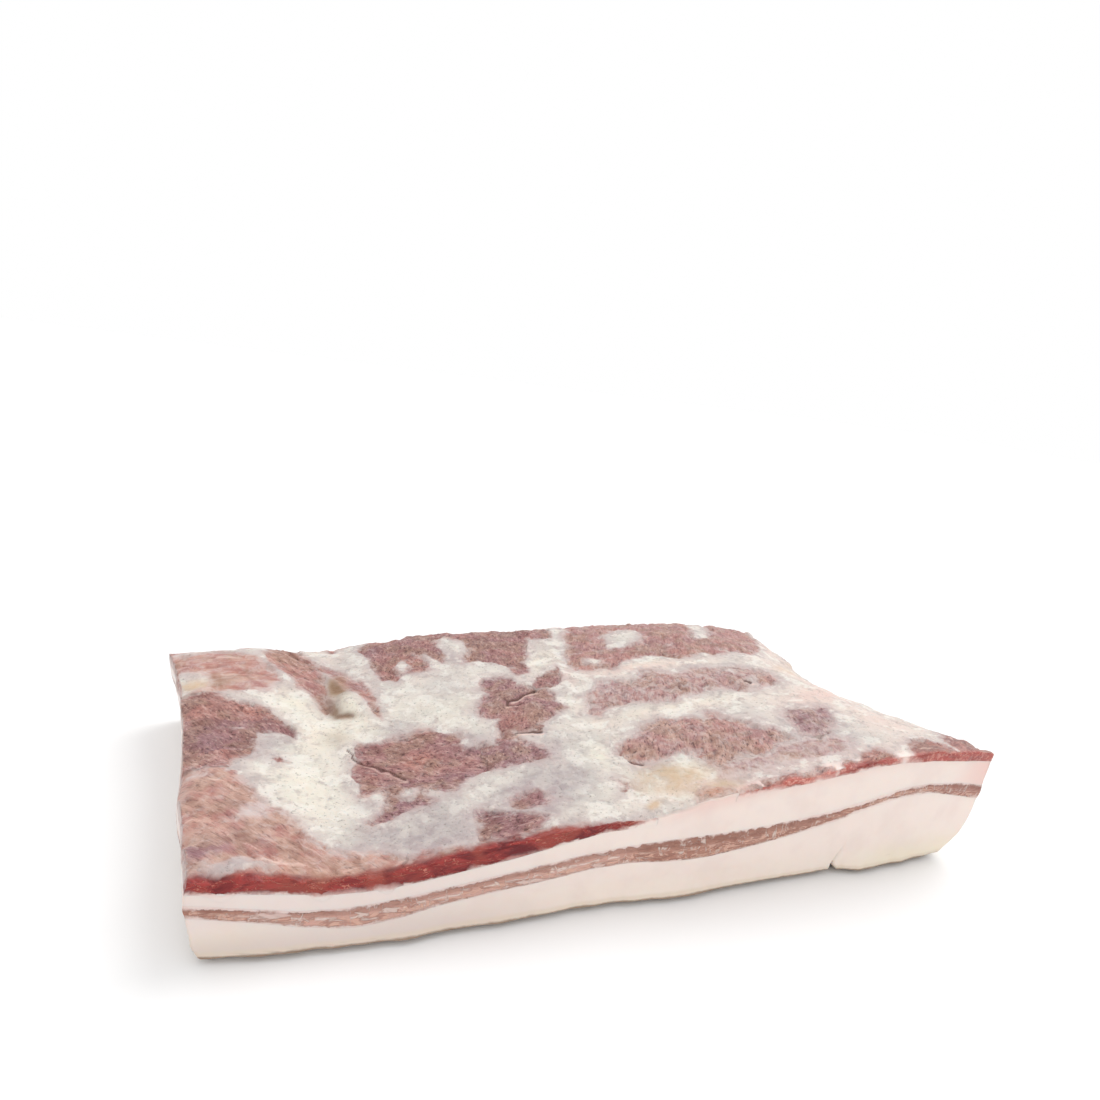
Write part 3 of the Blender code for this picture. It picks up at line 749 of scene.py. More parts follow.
# %% [markdown]
# Walls as the eye sees them
#
# The surveyed walls are too clean. A knife leaves slow waves in soft fat, the foot of the cut
# sags forward, the rind tucks under at the bottom, and near the thick end a crease stands open.
# Positive changes here mean to the right on the left side and inwards on the cut.

# %% Walls
# How far the foot of the cut bulges forward, in mm, at places along it
FOOT_BULGE = (
    (-5, 1.0), (3, 2.4), (10, 3.3), (18, 3.2), (26, 1.6), (34, 1.6), (42, 2.6), (51, 4.0),
    (64, 4.4), (79, 4.1), (87, 3.3), (95, 2.1), (105, 2.1), (113, 2.8), (123, 3.9), (127, 4.0),
    (140, 2.8), (157, 1.8), (168, 1.2), (184, 0.5), (191, 0.2), (197, 1.0), (205, 0.8),
    (214, 2.0), (224, 1.0), (232, 0.0))
# The lower left corner is round: mm to the right at each height
LEFT_CORNER = ((0, -4.6), (2, -4.5), (4, -2.8), (6, -1.1), (8, 0.2), (10, 0.9), (14, 1.1),
               (20, 0.0))
# The left side is hollow behind its middle: mm to the right at places along it
LEFT_HOLLOW = ((40, 0), (48, 0.6), (62, 1.5), (76, 2.3), (88, 2.6), (104, 2.5), (118, 2.1),
               (130, 1.2), (137, 0.3))
RIND_LIP = 1.5
TUCK = {"left": 2.4, "right": 2.4, "front": 4.2, "back": 2.4}
CREASE_DEPTH, HAIRLINE_DEPTH = 13.0, 0.6
FOOT_HEIGHT = 8.5
OUTWARD = {"left": -1, "right": 1, "front": -1, "back": 1}


def wall_roughness(a, z, side):
    if side == "front":
        return 0.14 * noise(a, z, 9.0, 61) + 0.05 * noise(a, z, 2.2, 62)
    return 0.4 * noise(a, z, 8.0, 63) + 0.14 * layered(a, z, 2.6, 64)


def crease_middle(z):
    return bend(((0, 187.9), (3.5, 186.3), (12, 189.4)), z)


def crease(x, z):
    """How far the open crease runs in from the cut: a dark mouth and a hairline above it."""
    off_middle = x - crease_middle(z)
    mouth = np.clip(1 - np.abs(off_middle) / np.clip(2.3 - 0.48 * z, 0.3, None), 0, 1) ** 0.6
    hair = np.exp(-(off_middle / 0.5) ** 2) * step((12 - z) / 5)
    return CREASE_DEPTH * mouth * step((4.6 - z) / 1.2) + HAIRLINE_DEPTH * hair


def wall(side, a, z, proud):
    values = read(wall_map[side], YS if side in ("left", "right") else XS, ZS, a, z)
    outward = OUTWARD[side]
    values = values + outward * (wall_roughness(a, z, side) + proud)
    values = values - outward * TUCK[side] * np.clip(1 - z / RIND_LIP, 0, 1) ** 0.8
    if side == "left":
        values = values + bend(LEFT_CORNER, z) * (0.5 + 0.5 * step((45 - a) / 30))
        values = values + bend(LEFT_HOLLOW, a)
        values = values + 2.2 * step((a - 60) / 50) * np.clip(1 - z / 24, 0, 1)
    if side == "front":
        rise = np.clip((FOOT_HEIGHT - np.maximum(z, RIND_LIP)) / 7.6, 0, 1) ** 1.7
        values = values - (bend(FOOT_BULGE, a) + 0.4 * noise(a, z, 6.0, 65)) * rise
        fold = np.exp(-((a - 194 - 0.3 * z) / 3.6) ** 2) * step(1 - (z - 8) / 14)
        values = values + crease(a, z) - 0.7 * fold
    return values


along_cut = wall("front", XS, np.full(XS.shape, 3.0), 0.0)
print("3 mm up, the cut winds between", round(along_cut.min(), 1), "and", round(along_cut.max(), 1))

# %% [markdown]
# A layer as a closed sheet
#
# Every layer is made the same way, like a blanket with thickness: a grid for its roof, the same
# grid for its floor, and rows of faces down the four sides where the cuts show it. Columns run
# from end to end and rows from front to back, and both are stretched to meet the walls. The
# walls lean and wind, so each round finds x from y and then y from x a little better.

# %% Points between the walls
DEPTH = 137.0
ROUNDS = 3


def lay(u, v, z, columns, proud):
    """A point of the block at height z: u counts columns from end to end, v runs front to back."""
    y = v * DEPTH
    for _ in range(ROUNDS):
        knots = columns(y, z, proud)
        place = u * (len(knots) - 1)
        x = np.zeros(u.shape)
        for k, (start, end) in enumerate(zip(knots[:-1], knots[1:])):
            share = np.clip(place - k, 0, 1)
            here = (place >= k) & ((place <= k + 1) | (k == len(knots) - 2))
            x = np.where(here, start * (1 - share) + end * share, x)
        y = wall("front", x, z, proud) * (1 - v) + wall("back", x, z, proud) * v
    return x, y


def grid_faces(count_u, count_v, start, flip):
    i, j = np.meshgrid(np.arange(count_u - 1), np.arange(count_v - 1), indexing="ij")
    a = start + i * count_v + j
    quads = np.stack([a, a + count_v, a + count_v + 1, a + 1], -1).reshape(-1, 4)
    return quads[:, ::-1] if flip else quads


def ring_around(nu, nv):
    """The numbers of the points along the rim of a grid, in order."""
    return np.concatenate([np.arange(nu) * nv, (nu - 1) * nv + np.arange(1, nv),
                           np.arange(nu - 2, -1, -1) * nv + nv - 1, np.arange(nv - 2, 0, -1)])


print("a grid of 4 by 3 points has", len(ring_around(4, 3)), "along its rim")

# %% [markdown]
# Making the mesh
#
# Blender stores a mesh as long lists: places of points, the corners of each face, and any number
# that a point should carry. Writing whole lists at once is far faster than adding faces one by
# one. The flat map gives the roof the most room, then the sides in strips, with gaps between.

# %% Mesh and flat map
ATTRIBUTES = ("lean", "tone", "dark", "veil", "crack", "yellow", "green", "cream", "lavender",
              "pink", "middle", "fresh", "top", "calm")
# The flat map: its scale, what puts its corner at zero, and the small copy of the hidden side
ATLAS, SHIFT, SMALL_MAP = 1 / 266.0, (20, 8), (0.79, 0.88, 0.2)
# Strips for the sides: faces left or right, faces right or back, how far up the map, scale
STRIPS = ((False, False, 0.58, 1.0), (False, True, 0.70, 1.0),
          (True, False, 0.82, 0.7), (True, True, 0.91, 0.7))


def unwrap(mesh, points, faces, sizes):
    """A flat map of the roof, the four sides and the floor, with room between them."""
    uv = np.zeros((len(faces), 4, 2))
    p = points[faces]
    x, y, z = p[..., 0] + SHIFT[0], p[..., 1] + SHIFT[1], p[..., 2]
    roof = np.arange(len(faces)) < sizes[0]
    under = np.arange(len(faces)) >= len(faces) - sizes[-1]
    side = ~roof & ~under
    main, rest = (under, roof) if "lower" in mesh.name else (roof, under)
    uv[main] = np.stack([x[main] * ATLAS, y[main] * ATLAS], -1)
    u0, v0, small = SMALL_MAP
    uv[rest] = np.stack([x[rest] * ATLAS * small + u0, y[rest] * ATLAS * small + v0], -1)
    normal = np.cross(p[:, 2] - p[:, 0], p[:, 3] - p[:, 1])
    sideways = np.abs(normal[:, 0]) > np.abs(normal[:, 1])
    base = z[side].min()
    for to_the_side, backwards, up, scale in STRIPS:
        facing = normal[:, 0 if to_the_side else 1]
        chosen = side & (sideways == to_the_side) & ((facing >= 0) == backwards)
        along = y if to_the_side else x
        uv[chosen, :, 0] = along[chosen] * ATLAS * scale
        uv[chosen, :, 1] = up + (z[chosen] - base) * ATLAS * scale * 0.9
    layer = mesh.uv_layers.new(name="OFBake")
    layer.data.foreach_set("uv", uv.ravel())


def make_piece(name, points, faces, sizes, values, fibre):
    mesh = bpy.data.meshes.new(name)
    mesh.vertices.add(len(points))
    mesh.vertices.foreach_set("co", ((points + CORNER) * MM).astype(np.float32).ravel())
    mesh.loops.add(faces.size)
    mesh.loops.foreach_set("vertex_index", faces.ravel().astype(np.int32))
    mesh.polygons.add(len(faces))
    mesh.polygons.foreach_set("loop_start", np.arange(0, faces.size, 4, dtype=np.int32))
    mesh.polygons.foreach_set("use_smooth", np.ones(len(faces), bool))
    mesh.update(calc_edges=True)
    for key, array in values.items():
        mesh.attributes.new(key, "FLOAT", "POINT").data.foreach_set("value", array)
    mesh.attributes.new("fibre", "FLOAT_VECTOR", "POINT").data.foreach_set("vector", fibre.ravel())
    unwrap(mesh, points, faces, sizes)
    mesh.validate()
    made = bpy.data.objects.new(name, mesh)
    bpy.context.scene.collection.objects.link(made)
    print(name, len(faces), "faces")
    return made


print("each point will carry", len(ATTRIBUTES), "numbers and the run of its fibres")

# %% [markdown]
# Building a sheet
#
# The roof and the walls depend on each other: how far in a point lies changes its height, and
# the wall leans with height. A few rounds of finding one from the other settle both. The sides
# then go down from the rim of the roof to the rim of the floor in rows, which crowd towards the
# foot where the form there is small.

# %% Sheet maker
FIRST_ROOF, FIRST_FLOOR = 30.0, 5.0
THINNEST = 0.4


def fibre_place(points, looks, count):
    """Where a point lies along and across its fibres, for strands that follow the muscle."""
    fibre = points[:, [2, 0, 1]] * (1.0, 0.45, 1.0)
    if "angle" in looks:
        c, s = np.cos(np.radians(looks["angle"])), np.sin(np.radians(looks["angle"]))
        x, y = points[:count, 0], points[:count, 1]
        stretched = (x * c + y * s) / (1.1 + 3.4 * looks["strand"])
        fibre[:count] = np.stack([y * c - x * s, stretched, np.zeros(count)], -1)
    return fibre


def sheet(name, us, vs, rows, columns, roof, floor, proud, side_looks, crowding=1.0):
    """Builds one closed layer and stores its looks on the vertices."""
    u, v = (part.ravel() for part in np.meshgrid(us, vs, indexing="ij"))
    nu, nv, count = len(us), len(vs), len(us) * len(vs)
    z = np.full(u.shape, FIRST_ROOF)
    for _ in range(ROUNDS):
        x, y = lay(u, v, z, columns, proud(0.0))
        z, looks = roof(x, y)
    points = [np.stack([x, y, z], -1)]
    low = np.full(u.shape, FIRST_FLOOR)
    for _ in range(ROUNDS):
        x, y = lay(u, v, low, columns, proud(1.0))
        low = np.minimum(floor(x, y), z - THINNEST)
    ring = ring_around(nu, nv)
    for k in range(1, rows):
        share = 1 - (1 - k / rows) ** crowding
        wz = z[ring] * (1 - share) + low[ring] * share
        wx, wy = lay(u[ring], v[ring], wz, columns, proud(share))
        points.append(np.stack([wx, wy, wz], -1))
    points = np.concatenate(points + [np.stack([x, y, low], -1)])

    under = count + (rows - 1) * len(ring)
    levels = [ring] + [count + k * len(ring) + np.arange(len(ring)) for k in range(rows - 1)]
    levels.append(under + ring)
    faces = [grid_faces(nu, nv, 0, False)]
    for above, below in zip(levels[:-1], levels[1:]):
        faces.append(np.stack([above, below, np.roll(below, -1), np.roll(above, -1)], -1))
    faces.append(grid_faces(nu, nv, under, True))
    sizes = [len(part) for part in faces]

    side = side_looks(points)
    values = {key: np.array(side.get(key, np.zeros(len(points)))) for key in ATTRIBUTES}
    edge = ((u == us[0]) | (u == us[-1]) | (v == vs[0]) | (v == vs[-1]))
    inner = np.flatnonzero(~edge)
    looks.setdefault("top", np.ones(count))
    for key in ATTRIBUTES:
        values[key][inner] = looks.get(key, np.zeros(count))[inner]
    fibre = fibre_place(points, looks, count)
    return make_piece(name, points, np.concatenate(faces), sizes, values, fibre)


def plain(x):
    """The looks of fat, far from any lean."""
    return {key: np.zeros(x.shape) - (9.0 if key == "lean" else 0.0) for key in ATTRIBUTES}


print("plain fat carries a distance to the lean of", float(plain(XS)["lean"][0]), "mm")

# %% [markdown]
# The fat at the cut
#
# The five layers reach a little way into each other, so that no gap shows. Where they do, both
# wear the same fat, and the border that the eye sees is drawn by the finish, as sharp and ragged
# as real lean. Fat is cool on the thin half, pink under the top of the thick half, and cream at
# its foot near both ends. Fine lines are drawn on it as well, with painted shade in the mouth of
# the crease and painted light on its wall.

# %% Fat at the cut


def side_start(points, flush=0.45):
    """What the sides share: fresh at the knife cut, cool at the thin end, flushed near the top."""
    x, y, z = points.T
    looks = plain(x)
    looks["fresh"] = step(1 - (y - 1.0) / 3.0)
    looks["lavender"] = 0.8 * step((110 - x) / 70)
    below_top = crest(x, y) - z
    looks["pink"] = flush * np.exp(-((below_top - 1.0) / 3.0) ** 2) * step((x - 110) / 30)
    return x, y, z, looks


def fat_lines(x, y, z, cut):
    """Dark lines and painted shade in the mouth of the crease are positive, pale ones negative."""
    fold = np.abs(z - streak_low(x, y) + 1.2 + 0.1 * (x - 205))
    lines = -0.4 * np.exp(-(fold / 0.5) ** 2) * step((x - 203) / 3) * cut
    tan_line = np.abs(z - 5.0 - 0.05 * (x - 205) + 0.4 * noise(x, z, 4.0, 76))
    lines += 0.3 * np.exp(-(tan_line / 0.4) ** 2) * np.exp(-((x - 213) / 7) ** 4)
    for height, strength, seed in ((2.4, 0.28, 77), (1.6, 0.4, 78)):
        line = np.abs(z - height + 0.5 * noise(x, z * 0, 9.0, seed))
        lines += strength * np.exp(-(line / 0.22) ** 2) * step((80 - x) / 30) * cut
    # Painted shade in the mouth of the open crease, low on the cut
    to_wall = np.clip(2.5 - 0.48 * z, 0.3, None) - np.abs(x - crease_middle(z))
    mouth = step(to_wall / 0.4) * step((5 - z) / 1.2)
    return np.maximum(lines, mouth * cut * step((y - 0.4) / 0.6))


def fat_side(points):
    x, y, z, looks = side_start(points)
    cut = looks["fresh"]
    tip = step((x - 222) / 18) * step((z - 22) / 6) * step((26 - y) / 20)
    looks["pink"] = np.maximum(looks["pink"], 0.6 * tip)
    thin_end = 0.6 * step((24 - x) / 22) * step((16 - z) / 10)
    looks["cream"] = thin_end + step((x - 186) / 24) * step((24 - z) / 16)
    looks["crack"] = fat_lines(x, y, z, cut)
    # Yellow on the wall at the foot of the crease: painted light over a yellowish tan
    looks["yellow"] = 0.6 * np.exp(-((x - 190) / 1.6) ** 2 - (z / 5) ** 2) * cut
    return looks


sample = fat_side(np.array([[230.0, 0.0, 30.0], [10.0, 0.0, 3.0]]))
print("pink at the thick tip:", round(float(sample["pink"][0]), 2))
print("cream at the thin foot:", round(float(sample["cream"][1]), 2))

# %% [markdown]
# The streak at the cut
#
# The streak is beaded, as thin muscle between two seams is: bundles stand next to each other
# with small dents between them. Its solid is smooth, so a swell measured along the cut and a row
# of dents are added to the distance that draws its border.

# %% Streak at the cut
# How much the streak is thicker than its solid on each side, along the cut
STREAK_SWELL = (
    (-5, 0.0), (5, 0.2), (60, 0.3), (80, 0.2), (120, 0.45), (160, 0.4), (174, 0.1), (184, -0.3),
    (198, -0.3), (212, 0.0), (225, 0.4), (240, 0.4))
BEAD_LENGTH = 4.4


def streak_side(points):
    x, y, z, looks = side_start(points, 0.0)
    high, low = streak_top(x, y), streak_low(x, y)
    swell = bend(STREAK_SWELL, x) + 0.3 * noise(x, z, 4.0, 75)
    beads = np.abs(np.sin(math.pi * x / BEAD_LENGTH + 2.4 * noise(x, x * 0, 11.0, 79))) ** 0.6
    dents = 0.8 * (1 - beads) * step((x - 92) / 10) * step((182 - x) / 12)
    looks["lean"] = np.minimum(high - z - dents, z - low) + swell
    looks["veil"] = 0.15 + 0.85 * step((118 - x) / 14) * step((x - 6) / 10)
    looks["middle"] = z - (high + low) / 2
    looks["tone"] = 0.3 + 0.7 * step((x - 200) / 40)
    return looks


thickness = streak_top(XS, XS * 0) - streak_low(XS, XS * 0)
print("the streak is", round(thickness.min(), 1), "to", round(thickness.max(), 1), "mm thick")

# %% [markdown]
# The lean at the cut
#
# On the thin half the lean is a thick wedge that runs out at the band of fat. On the thick half
# it is only a skin, paler and thinner towards the middle, with two breaks where fat comes
# through. In both, the distance is measured up from the underside of the sheet.

# %% Lean at the cut
# Breaks in the thin lean over the thick half of the cut: place, half width
DRIPS = ((175.9, 0.7), (201.0, 2.0))
DEEPEST = 5.0
LEFT_TAPER, RIGHT_TAPER = 12.0, 4.0


def paleness(x):
    """Past the middle the cut lean is a thin pale film, but deep red again near the crease."""
    red_again = 1 - 0.8 * np.exp(-((x - 187) / 7) ** 2)
    return step((x - 114) / 10) * red_again * (1 - 0.4 * step((x - 200) / 4))


def left_side(points):
    x, y, z, looks = side_start(points)
    height = crest(x, y)
    taper = step((left_end(y) - x) / LEFT_TAPER)
    sway = 0.65 * noise(x, y, 10.0, 73) + 0.5 * noise(x, y, 3.2, 74)
    lean = z - height + (height - left_low(x, y) + sway) * taper
    looks["lean"] = np.minimum(lean, DEEPEST)
    looks["tone"] = np.full(x.shape, 0.9)
    looks["veil"] = 0.5 * (1 - looks["fresh"]) * step((14 - x) / 6)
    return looks


def right_side(points):
    x, y, z, looks = side_start(points)
    height = crest(x, y)
    taper = step((x - right_end(y)) / RIGHT_TAPER)
    sway = 0.35 * step((x - 146) / 8) + 0.6 * noise(x, y, 5.0, 80) + 0.4 * noise(x, y, 2.2, 81)
    sway = sway + 1.4 * step((x - 206) / 14) * step((8 - y) / 5)
    lean = z - height + (height - right_low(x, y) + sway) * taper
    for place, half_width in DRIPS:
        gap = np.abs(x - place) - half_width
        lean = np.where(y < 4, np.minimum(lean, gap), lean)
    looks["lean"] = np.minimum(lean, DEEPEST)
    looks["tone"] = np.full(x.shape, 0.9)
    looks["middle"] = paleness(x)
    return looks


thickness = crest(XS, XS * 0) - left_low(XS, XS * 0)
print("the left lean is up to", round(thickness.max(), 1), "mm thick at the cut")

# %% [markdown]
# Roofs and floors
#
# Only three layers show on top. The two sheets of lean carry the mosaic, and the upper fat comes
# up between them like a river between two banks. It slips under both. Where a sheet runs
# out, its floor is kept thick, so that the margin of fat under the lean never tears.

# %% Roofs and floors
# How far the river of fat slips under the end of a sheet, how thick the margin of fat under
# the lean is, and how thick a sheet stays where its lean runs out
LIP, MARGIN, THIN_END = 1.2, 1.2, 3.4


def near_the_cut(x, y):
    """The fat is dry all over the rib side, but moist along the rim of the cut."""
    return 1 - 0.85 * step(1.3 - y / 3.4 + 0.3 * noise(x, y, 3.0, 72)) * step((x - 120) / 24)


def river(x, y):
    """The upper fat: up at the top between the lean sheets, and under them elsewhere."""
    z, looks = top_of(x, y)
    from_left, from_right = x - left_end(y), right_end(y) - x
    open_here = step((from_left + LIP) / 0.6 + 0.5) * step((from_right + LIP) / 0.6 + 0.5)
    under = np.where(from_left < from_right, left_low(x, y), right_low(x, y)) - 0.3
    looks["top"] = near_the_cut(x, y)
    return under * (1 - open_here) + z * open_here, looks


def hidden(height):
    """A roof that lies under another layer and never shows."""
    return lambda x, y: (height(x, y), plain(x))


def lean_roof(end, towards):
    def roof(x, y):
        z, looks = top_of(x, y)
        from_end = (end(y) - x) * towards
        spill = 1.0 + 2.9 * np.exp(-((x - 78) / 24) ** 2) + 0.5 * step((x - 170) / 8)
        spill = spill + 1.1 * step((62 - x) / 20) + 1.1 * step((26 - x) / 14)
        spill = spill + 0.8 * noise(x, y, 5.0, 71)
        looks["top"] = near_the_cut(x, y)
        looks["middle"] = paleness(x)
        looks["fresh"] = step(1.4 - y / spill) * step(looks["lean"] / 0.4 + 0.5)
        return z + 0.03 - 0.35 * step(1 - from_end / 0.7), looks

    return roof


def thick_floor(low):
    """The sheet's floor with its margin of fat, kept thick where the lean runs out."""
    return lambda x, y: np.minimum(low(x, y) - MARGIN, crest(x, y) - THIN_END)


red_rim = lean_roof(left_end, 1)(np.full(5, 78.0), np.arange(5.0))[1]["fresh"]
print("fresh red from the cut inwards, each millimetre:", np.round(red_rim, 2))

# %% [markdown]
# Columns and rows
#
# Where the form changes quickly, the grid needs more columns: at the open crease, and where the
# river of fat comes up. So each layer names a few knots from end to end, and the columns are
# spread evenly between them. The sides may also swell or slip in a little on their way down.

# %% Columns and rows
FINE = 1.0
CREASE_COLUMNS = (183.5, 191.5)
BANK, END_STRIP = 0.4, 1.4


def spaced(*counts):
    """Even steps inside each stretch between the knots, with its own number of cells."""
    counts = [max(2, int(count * FINE)) for count in counts]
    parts = [(k + np.arange(n) / n) / len(counts) for k, n in enumerate(counts)]
    return np.append(np.concatenate(parts), 1.0)


def end_to_end(y, z, proud):
    return wall("left", y, z, proud), wall("right", y, z, proud)


def past_crease(y, z, proud):
    """Columns crowd at the open crease, where the form changes within a millimetre."""
    left, right = end_to_end(y, z, proud)
    return (left, *(np.full(y.shape, x) for x in CREASE_COLUMNS), right)


def past_river(y, z, proud):
    left, right = end_to_end(y, z, proud)
    start, stop = left_end(y) - LIP, right_end(y) + LIP
    return left, start - BANK, start + BANK, stop - BANK, stop + BANK, right


def left_of_river(y, z, proud):
    return wall("left", y, z, proud), left_end(y) - END_STRIP, left_end(y)


def right_of_river(y, z, proud):
    return right_end(y), right_end(y) + END_STRIP, wall("right", y, z, proud)


def level(share):
    return 0.0


def swelling(share):
    """Stands out in the middle and slips under its neighbours at both rims."""
    return 0.3 * math.sin(math.pi * share) ** 0.5 - 0.12


def hanging(share):
    return 0.04 - 0.18 * step((share - 0.7) / 0.3)


print("the upper fat has", len(spaced(120, 3, 60, 3, 100)), "columns")

# %% [markdown]
# Lay the sheets
#
# Everything is ready, so the five layers are laid from the bottom up. Each plan names the grid,
# how many rows of faces the sides have, how the columns run, the roof, the floor, how far the
# sides stand out, and what they look like. The lower fat also crowds its rows at the rind.

# %% Lay the sheets
PLANS = {
    "lower_fat_layer": (
        spaced(215, 26, 60), spaced(100), int(24 * FINE), past_crease,
        hidden(lambda x, y: streak_low(x, y) + 0.3), lambda x, y: np.zeros(x.shape), level,
        fat_side, 1.6),
    "streak_layer": (
        spaced(330), spaced(90), int(14 * FINE), end_to_end,
        hidden(lambda x, y: streak_top(x, y) + MARGIN), lambda x, y: streak_low(x, y) - MARGIN,
        swelling, streak_side),
    "upper_fat_layer": (
        spaced(120, 3, 60, 3, 100), spaced(140), int(20 * FINE), past_river,
        river, lambda x, y: streak_top(x, y) - 0.3, level, fat_side),
    "left_lean_layer": (
        spaced(196, 4), spaced(208), int(12 * FINE), left_of_river,
        lean_roof(left_end, 1), thick_floor(left_low), hanging, left_side),
    "right_lean_layer": (
        spaced(4, 176), spaced(208), int(10 * FINE), right_of_river,
        lean_roof(right_end, -1), thick_floor(right_low), hanging, right_side),
}
pieces = {name: sheet(name, *plan) for name, plan in PLANS.items()}
print(sum(len(piece.data.polygons) for piece in pieces.values()), "faces in all")

# %% [markdown]
# Words for shader nodes
#
# A shader is a small factory of nodes. One could place and link each node by hand, but a recipe
# reads better in words. Recipe holds a node tree and offers a short word for each kind of node
# that meat needs. Colours are written as they are read on a screen, from 0 to 255.

# %% Words for shader nodes
NUMBER, COLOUR, VECTOR = "NodeSocketFloat", "NodeSocketColor", "NodeSocketVector"


def tint(red, green, blue):
    """A colour as read on a screen, turned into the light that the shader wants."""
    return tuple((c / 255 / 12.92) if c / 255 <= 0.04045 else ((c / 255 + 0.055) / 1.055) ** 2.4
                 for c in (red, green, blue)) + (1.0,)


class Recipe:
    """A node tree, with short words for the nodes that the finishes need."""

    def __init__(self, tree):
        self.tree = tree

    def add(self, kind, inputs=None, **settings):
        made = self.tree.nodes.new(kind)
        for key, value in settings.items():
            setattr(made, key, value)
        for key, value in (inputs or {}).items():
            if isinstance(value, bpy.types.NodeSocket):
                self.tree.links.new(value, made.inputs[key])
            else:
                made.inputs[key].default_value = value
        return made

    def maths(self, operation, a, b=0.0, c=0.0, clamp=False):
        return self.add("ShaderNodeMath", {0: a, 1: b, 2: c}, operation=operation,
                        use_clamp=clamp).outputs[0]

    def times(self, a, b):
        return self.maths("MULTIPLY", a, b)

    def plus(self, a, b, clamp=False):
        return self.maths("ADD", a, b, clamp=clamp)

    def minus(self, a, b, clamp=False):
        return self.maths("SUBTRACT", a, b, clamp=clamp)

    def line(self, value, slope, start):
        return self.maths("MULTIPLY_ADD", value, slope, start)

    def size_of(self, value):
        return self.maths("ABSOLUTE", value)

    def centred(self, value, amount):
        """Noise around zero, scaled."""
        return self.times(self.minus(value, 0.5), amount)

    def between(self, value, low, high, to_low=0.0, to_high=1.0):
        """A soft step from to_low to to_high."""
        return self.add("ShaderNodeMapRange", {0: value, 1: low, 2: high, 3: to_low, 4: to_high},
                        interpolation_type="SMOOTHSTEP").outputs[0]

    def mix(self, share, a, b):
        """Two colours; one that is written as three screen values is turned into light."""
        a, b = (tint(*colour) if isinstance(colour, tuple) else colour for colour in (a, b))
        return self.add("ShaderNodeMix", {0: share, 6: a, 7: b}, data_type="RGBA").outputs[2]

    def mix_number(self, share, a, b):
        return self.add("ShaderNodeMix", {0: share, 2: a, 3: b}, data_type="FLOAT").outputs[0]

    def wash(self, base, mask, low, high, strength, colour):
        """Lays a colour over the base where the mask passes from low to high."""
        return self.mix(self.between(mask, low, high, 0.0, strength), base, colour)

    def grain(self, place, size, detail=3.0, roughness=0.55, stretch=(1, 1, 1), distortion=0.0):
        """Noise whose bumps are about size millimetres wide, from a place in millimetres."""
        scaled = self.add("ShaderNodeVectorMath", {0: place, 1: stretch}, operation="MULTIPLY")
        return self.add("ShaderNodeTexNoise",
                        {"Vector": scaled.outputs[0], "Scale": 1.0 / size, "Detail": detail,
                         "Roughness": roughness, "Distortion": distortion}).outputs[0]


def group(name, inputs, outputs):
    """A recipe for a shader group with named sockets: a default value, or None for a vector."""
    tree = bpy.data.node_groups.new(name, "ShaderNodeTree")
    for label, value in inputs.items():
        kind = VECTOR if value is None else NUMBER
        socket = tree.interface.new_socket(label, in_out="INPUT", socket_type=kind)
        if value is not None:
            socket.default_value = value
    for label, kind in outputs.items():
        tree.interface.new_socket(label, in_out="OUTPUT", socket_type=kind)
    nodes = Recipe(tree)
    nodes.given = tree.nodes.new("NodeGroupInput").outputs
    nodes.result = tree.nodes.new("NodeGroupOutput").inputs
    return nodes


def hand_out(nodes, **values):
    """Links what the group has made to its outputs, and gives back the finished group."""
    for label, value in values.items():
        nodes.tree.links.new(value, nodes.result[label])
    print(nodes.tree.name, "has", len(nodes.tree.nodes), "nodes")
    return nodes.tree

# %% [markdown]
# The border of lean and fat
#
# On the real piece the border is crisp where a muscle ends in a clean seam and blurred where a
# film of fat runs over it. The stored distance is smooth, so it can be cut at zero as finely as
# the picture needs. Two sizes of noise move the cut, and every layer shares the mask.

# %% Border group


def border_group():
    nodes = group("lean_border",
                  {"Distance": 0.0, "Place": None, "Ragged": 0.5, "Softness": 0.25},
                  {"Lean": NUMBER, "Depth": NUMBER, "Seam": NUMBER})
    given, place = nodes.given, nodes.given["Place"]
    coarse = nodes.grain(place, 2.6, 4.0, 0.6)
    fine = nodes.grain(place, 0.9, 3.0, 0.65)
    calm = nodes.grain(place, 7.0, 1.0)
    sway = nodes.plus(nodes.centred(coarse, 2.8), nodes.centred(fine, 1.9))
    moved = nodes.line(sway, given["Ragged"], given["Distance"])
    soft = nodes.times(given["Softness"], nodes.between(calm, 0.4, 0.62, 0.8, 3.6))
    lean = nodes.between(moved, nodes.times(soft, -1.0), soft)
    seam = nodes.minus(1.0, nodes.times(nodes.size_of(moved), 0.7), clamp=True)
    return hand_out(nodes, Lean=lean, Depth=moved, Seam=seam)


LEAN_BORDER = border_group()

# %% [markdown]
# Dry lean
#
# On the rib side the lean has dried: mauve to brown, mottled along its fibres, with dark pits and
# paler ridges, and in places a milky veil of membrane. Each of these is one wash of colour over
# the last, with its own noise as the mask, as a painter of models would glaze it.

# %% Dry lean group
MAUVE_LEAN, RED_LEAN, BROWN_LEAN = (155, 115, 120), (180, 124, 113), (160, 126, 110)
PALE_STRAND, DARK_STRAND = (208, 172, 162), (112, 74, 70)


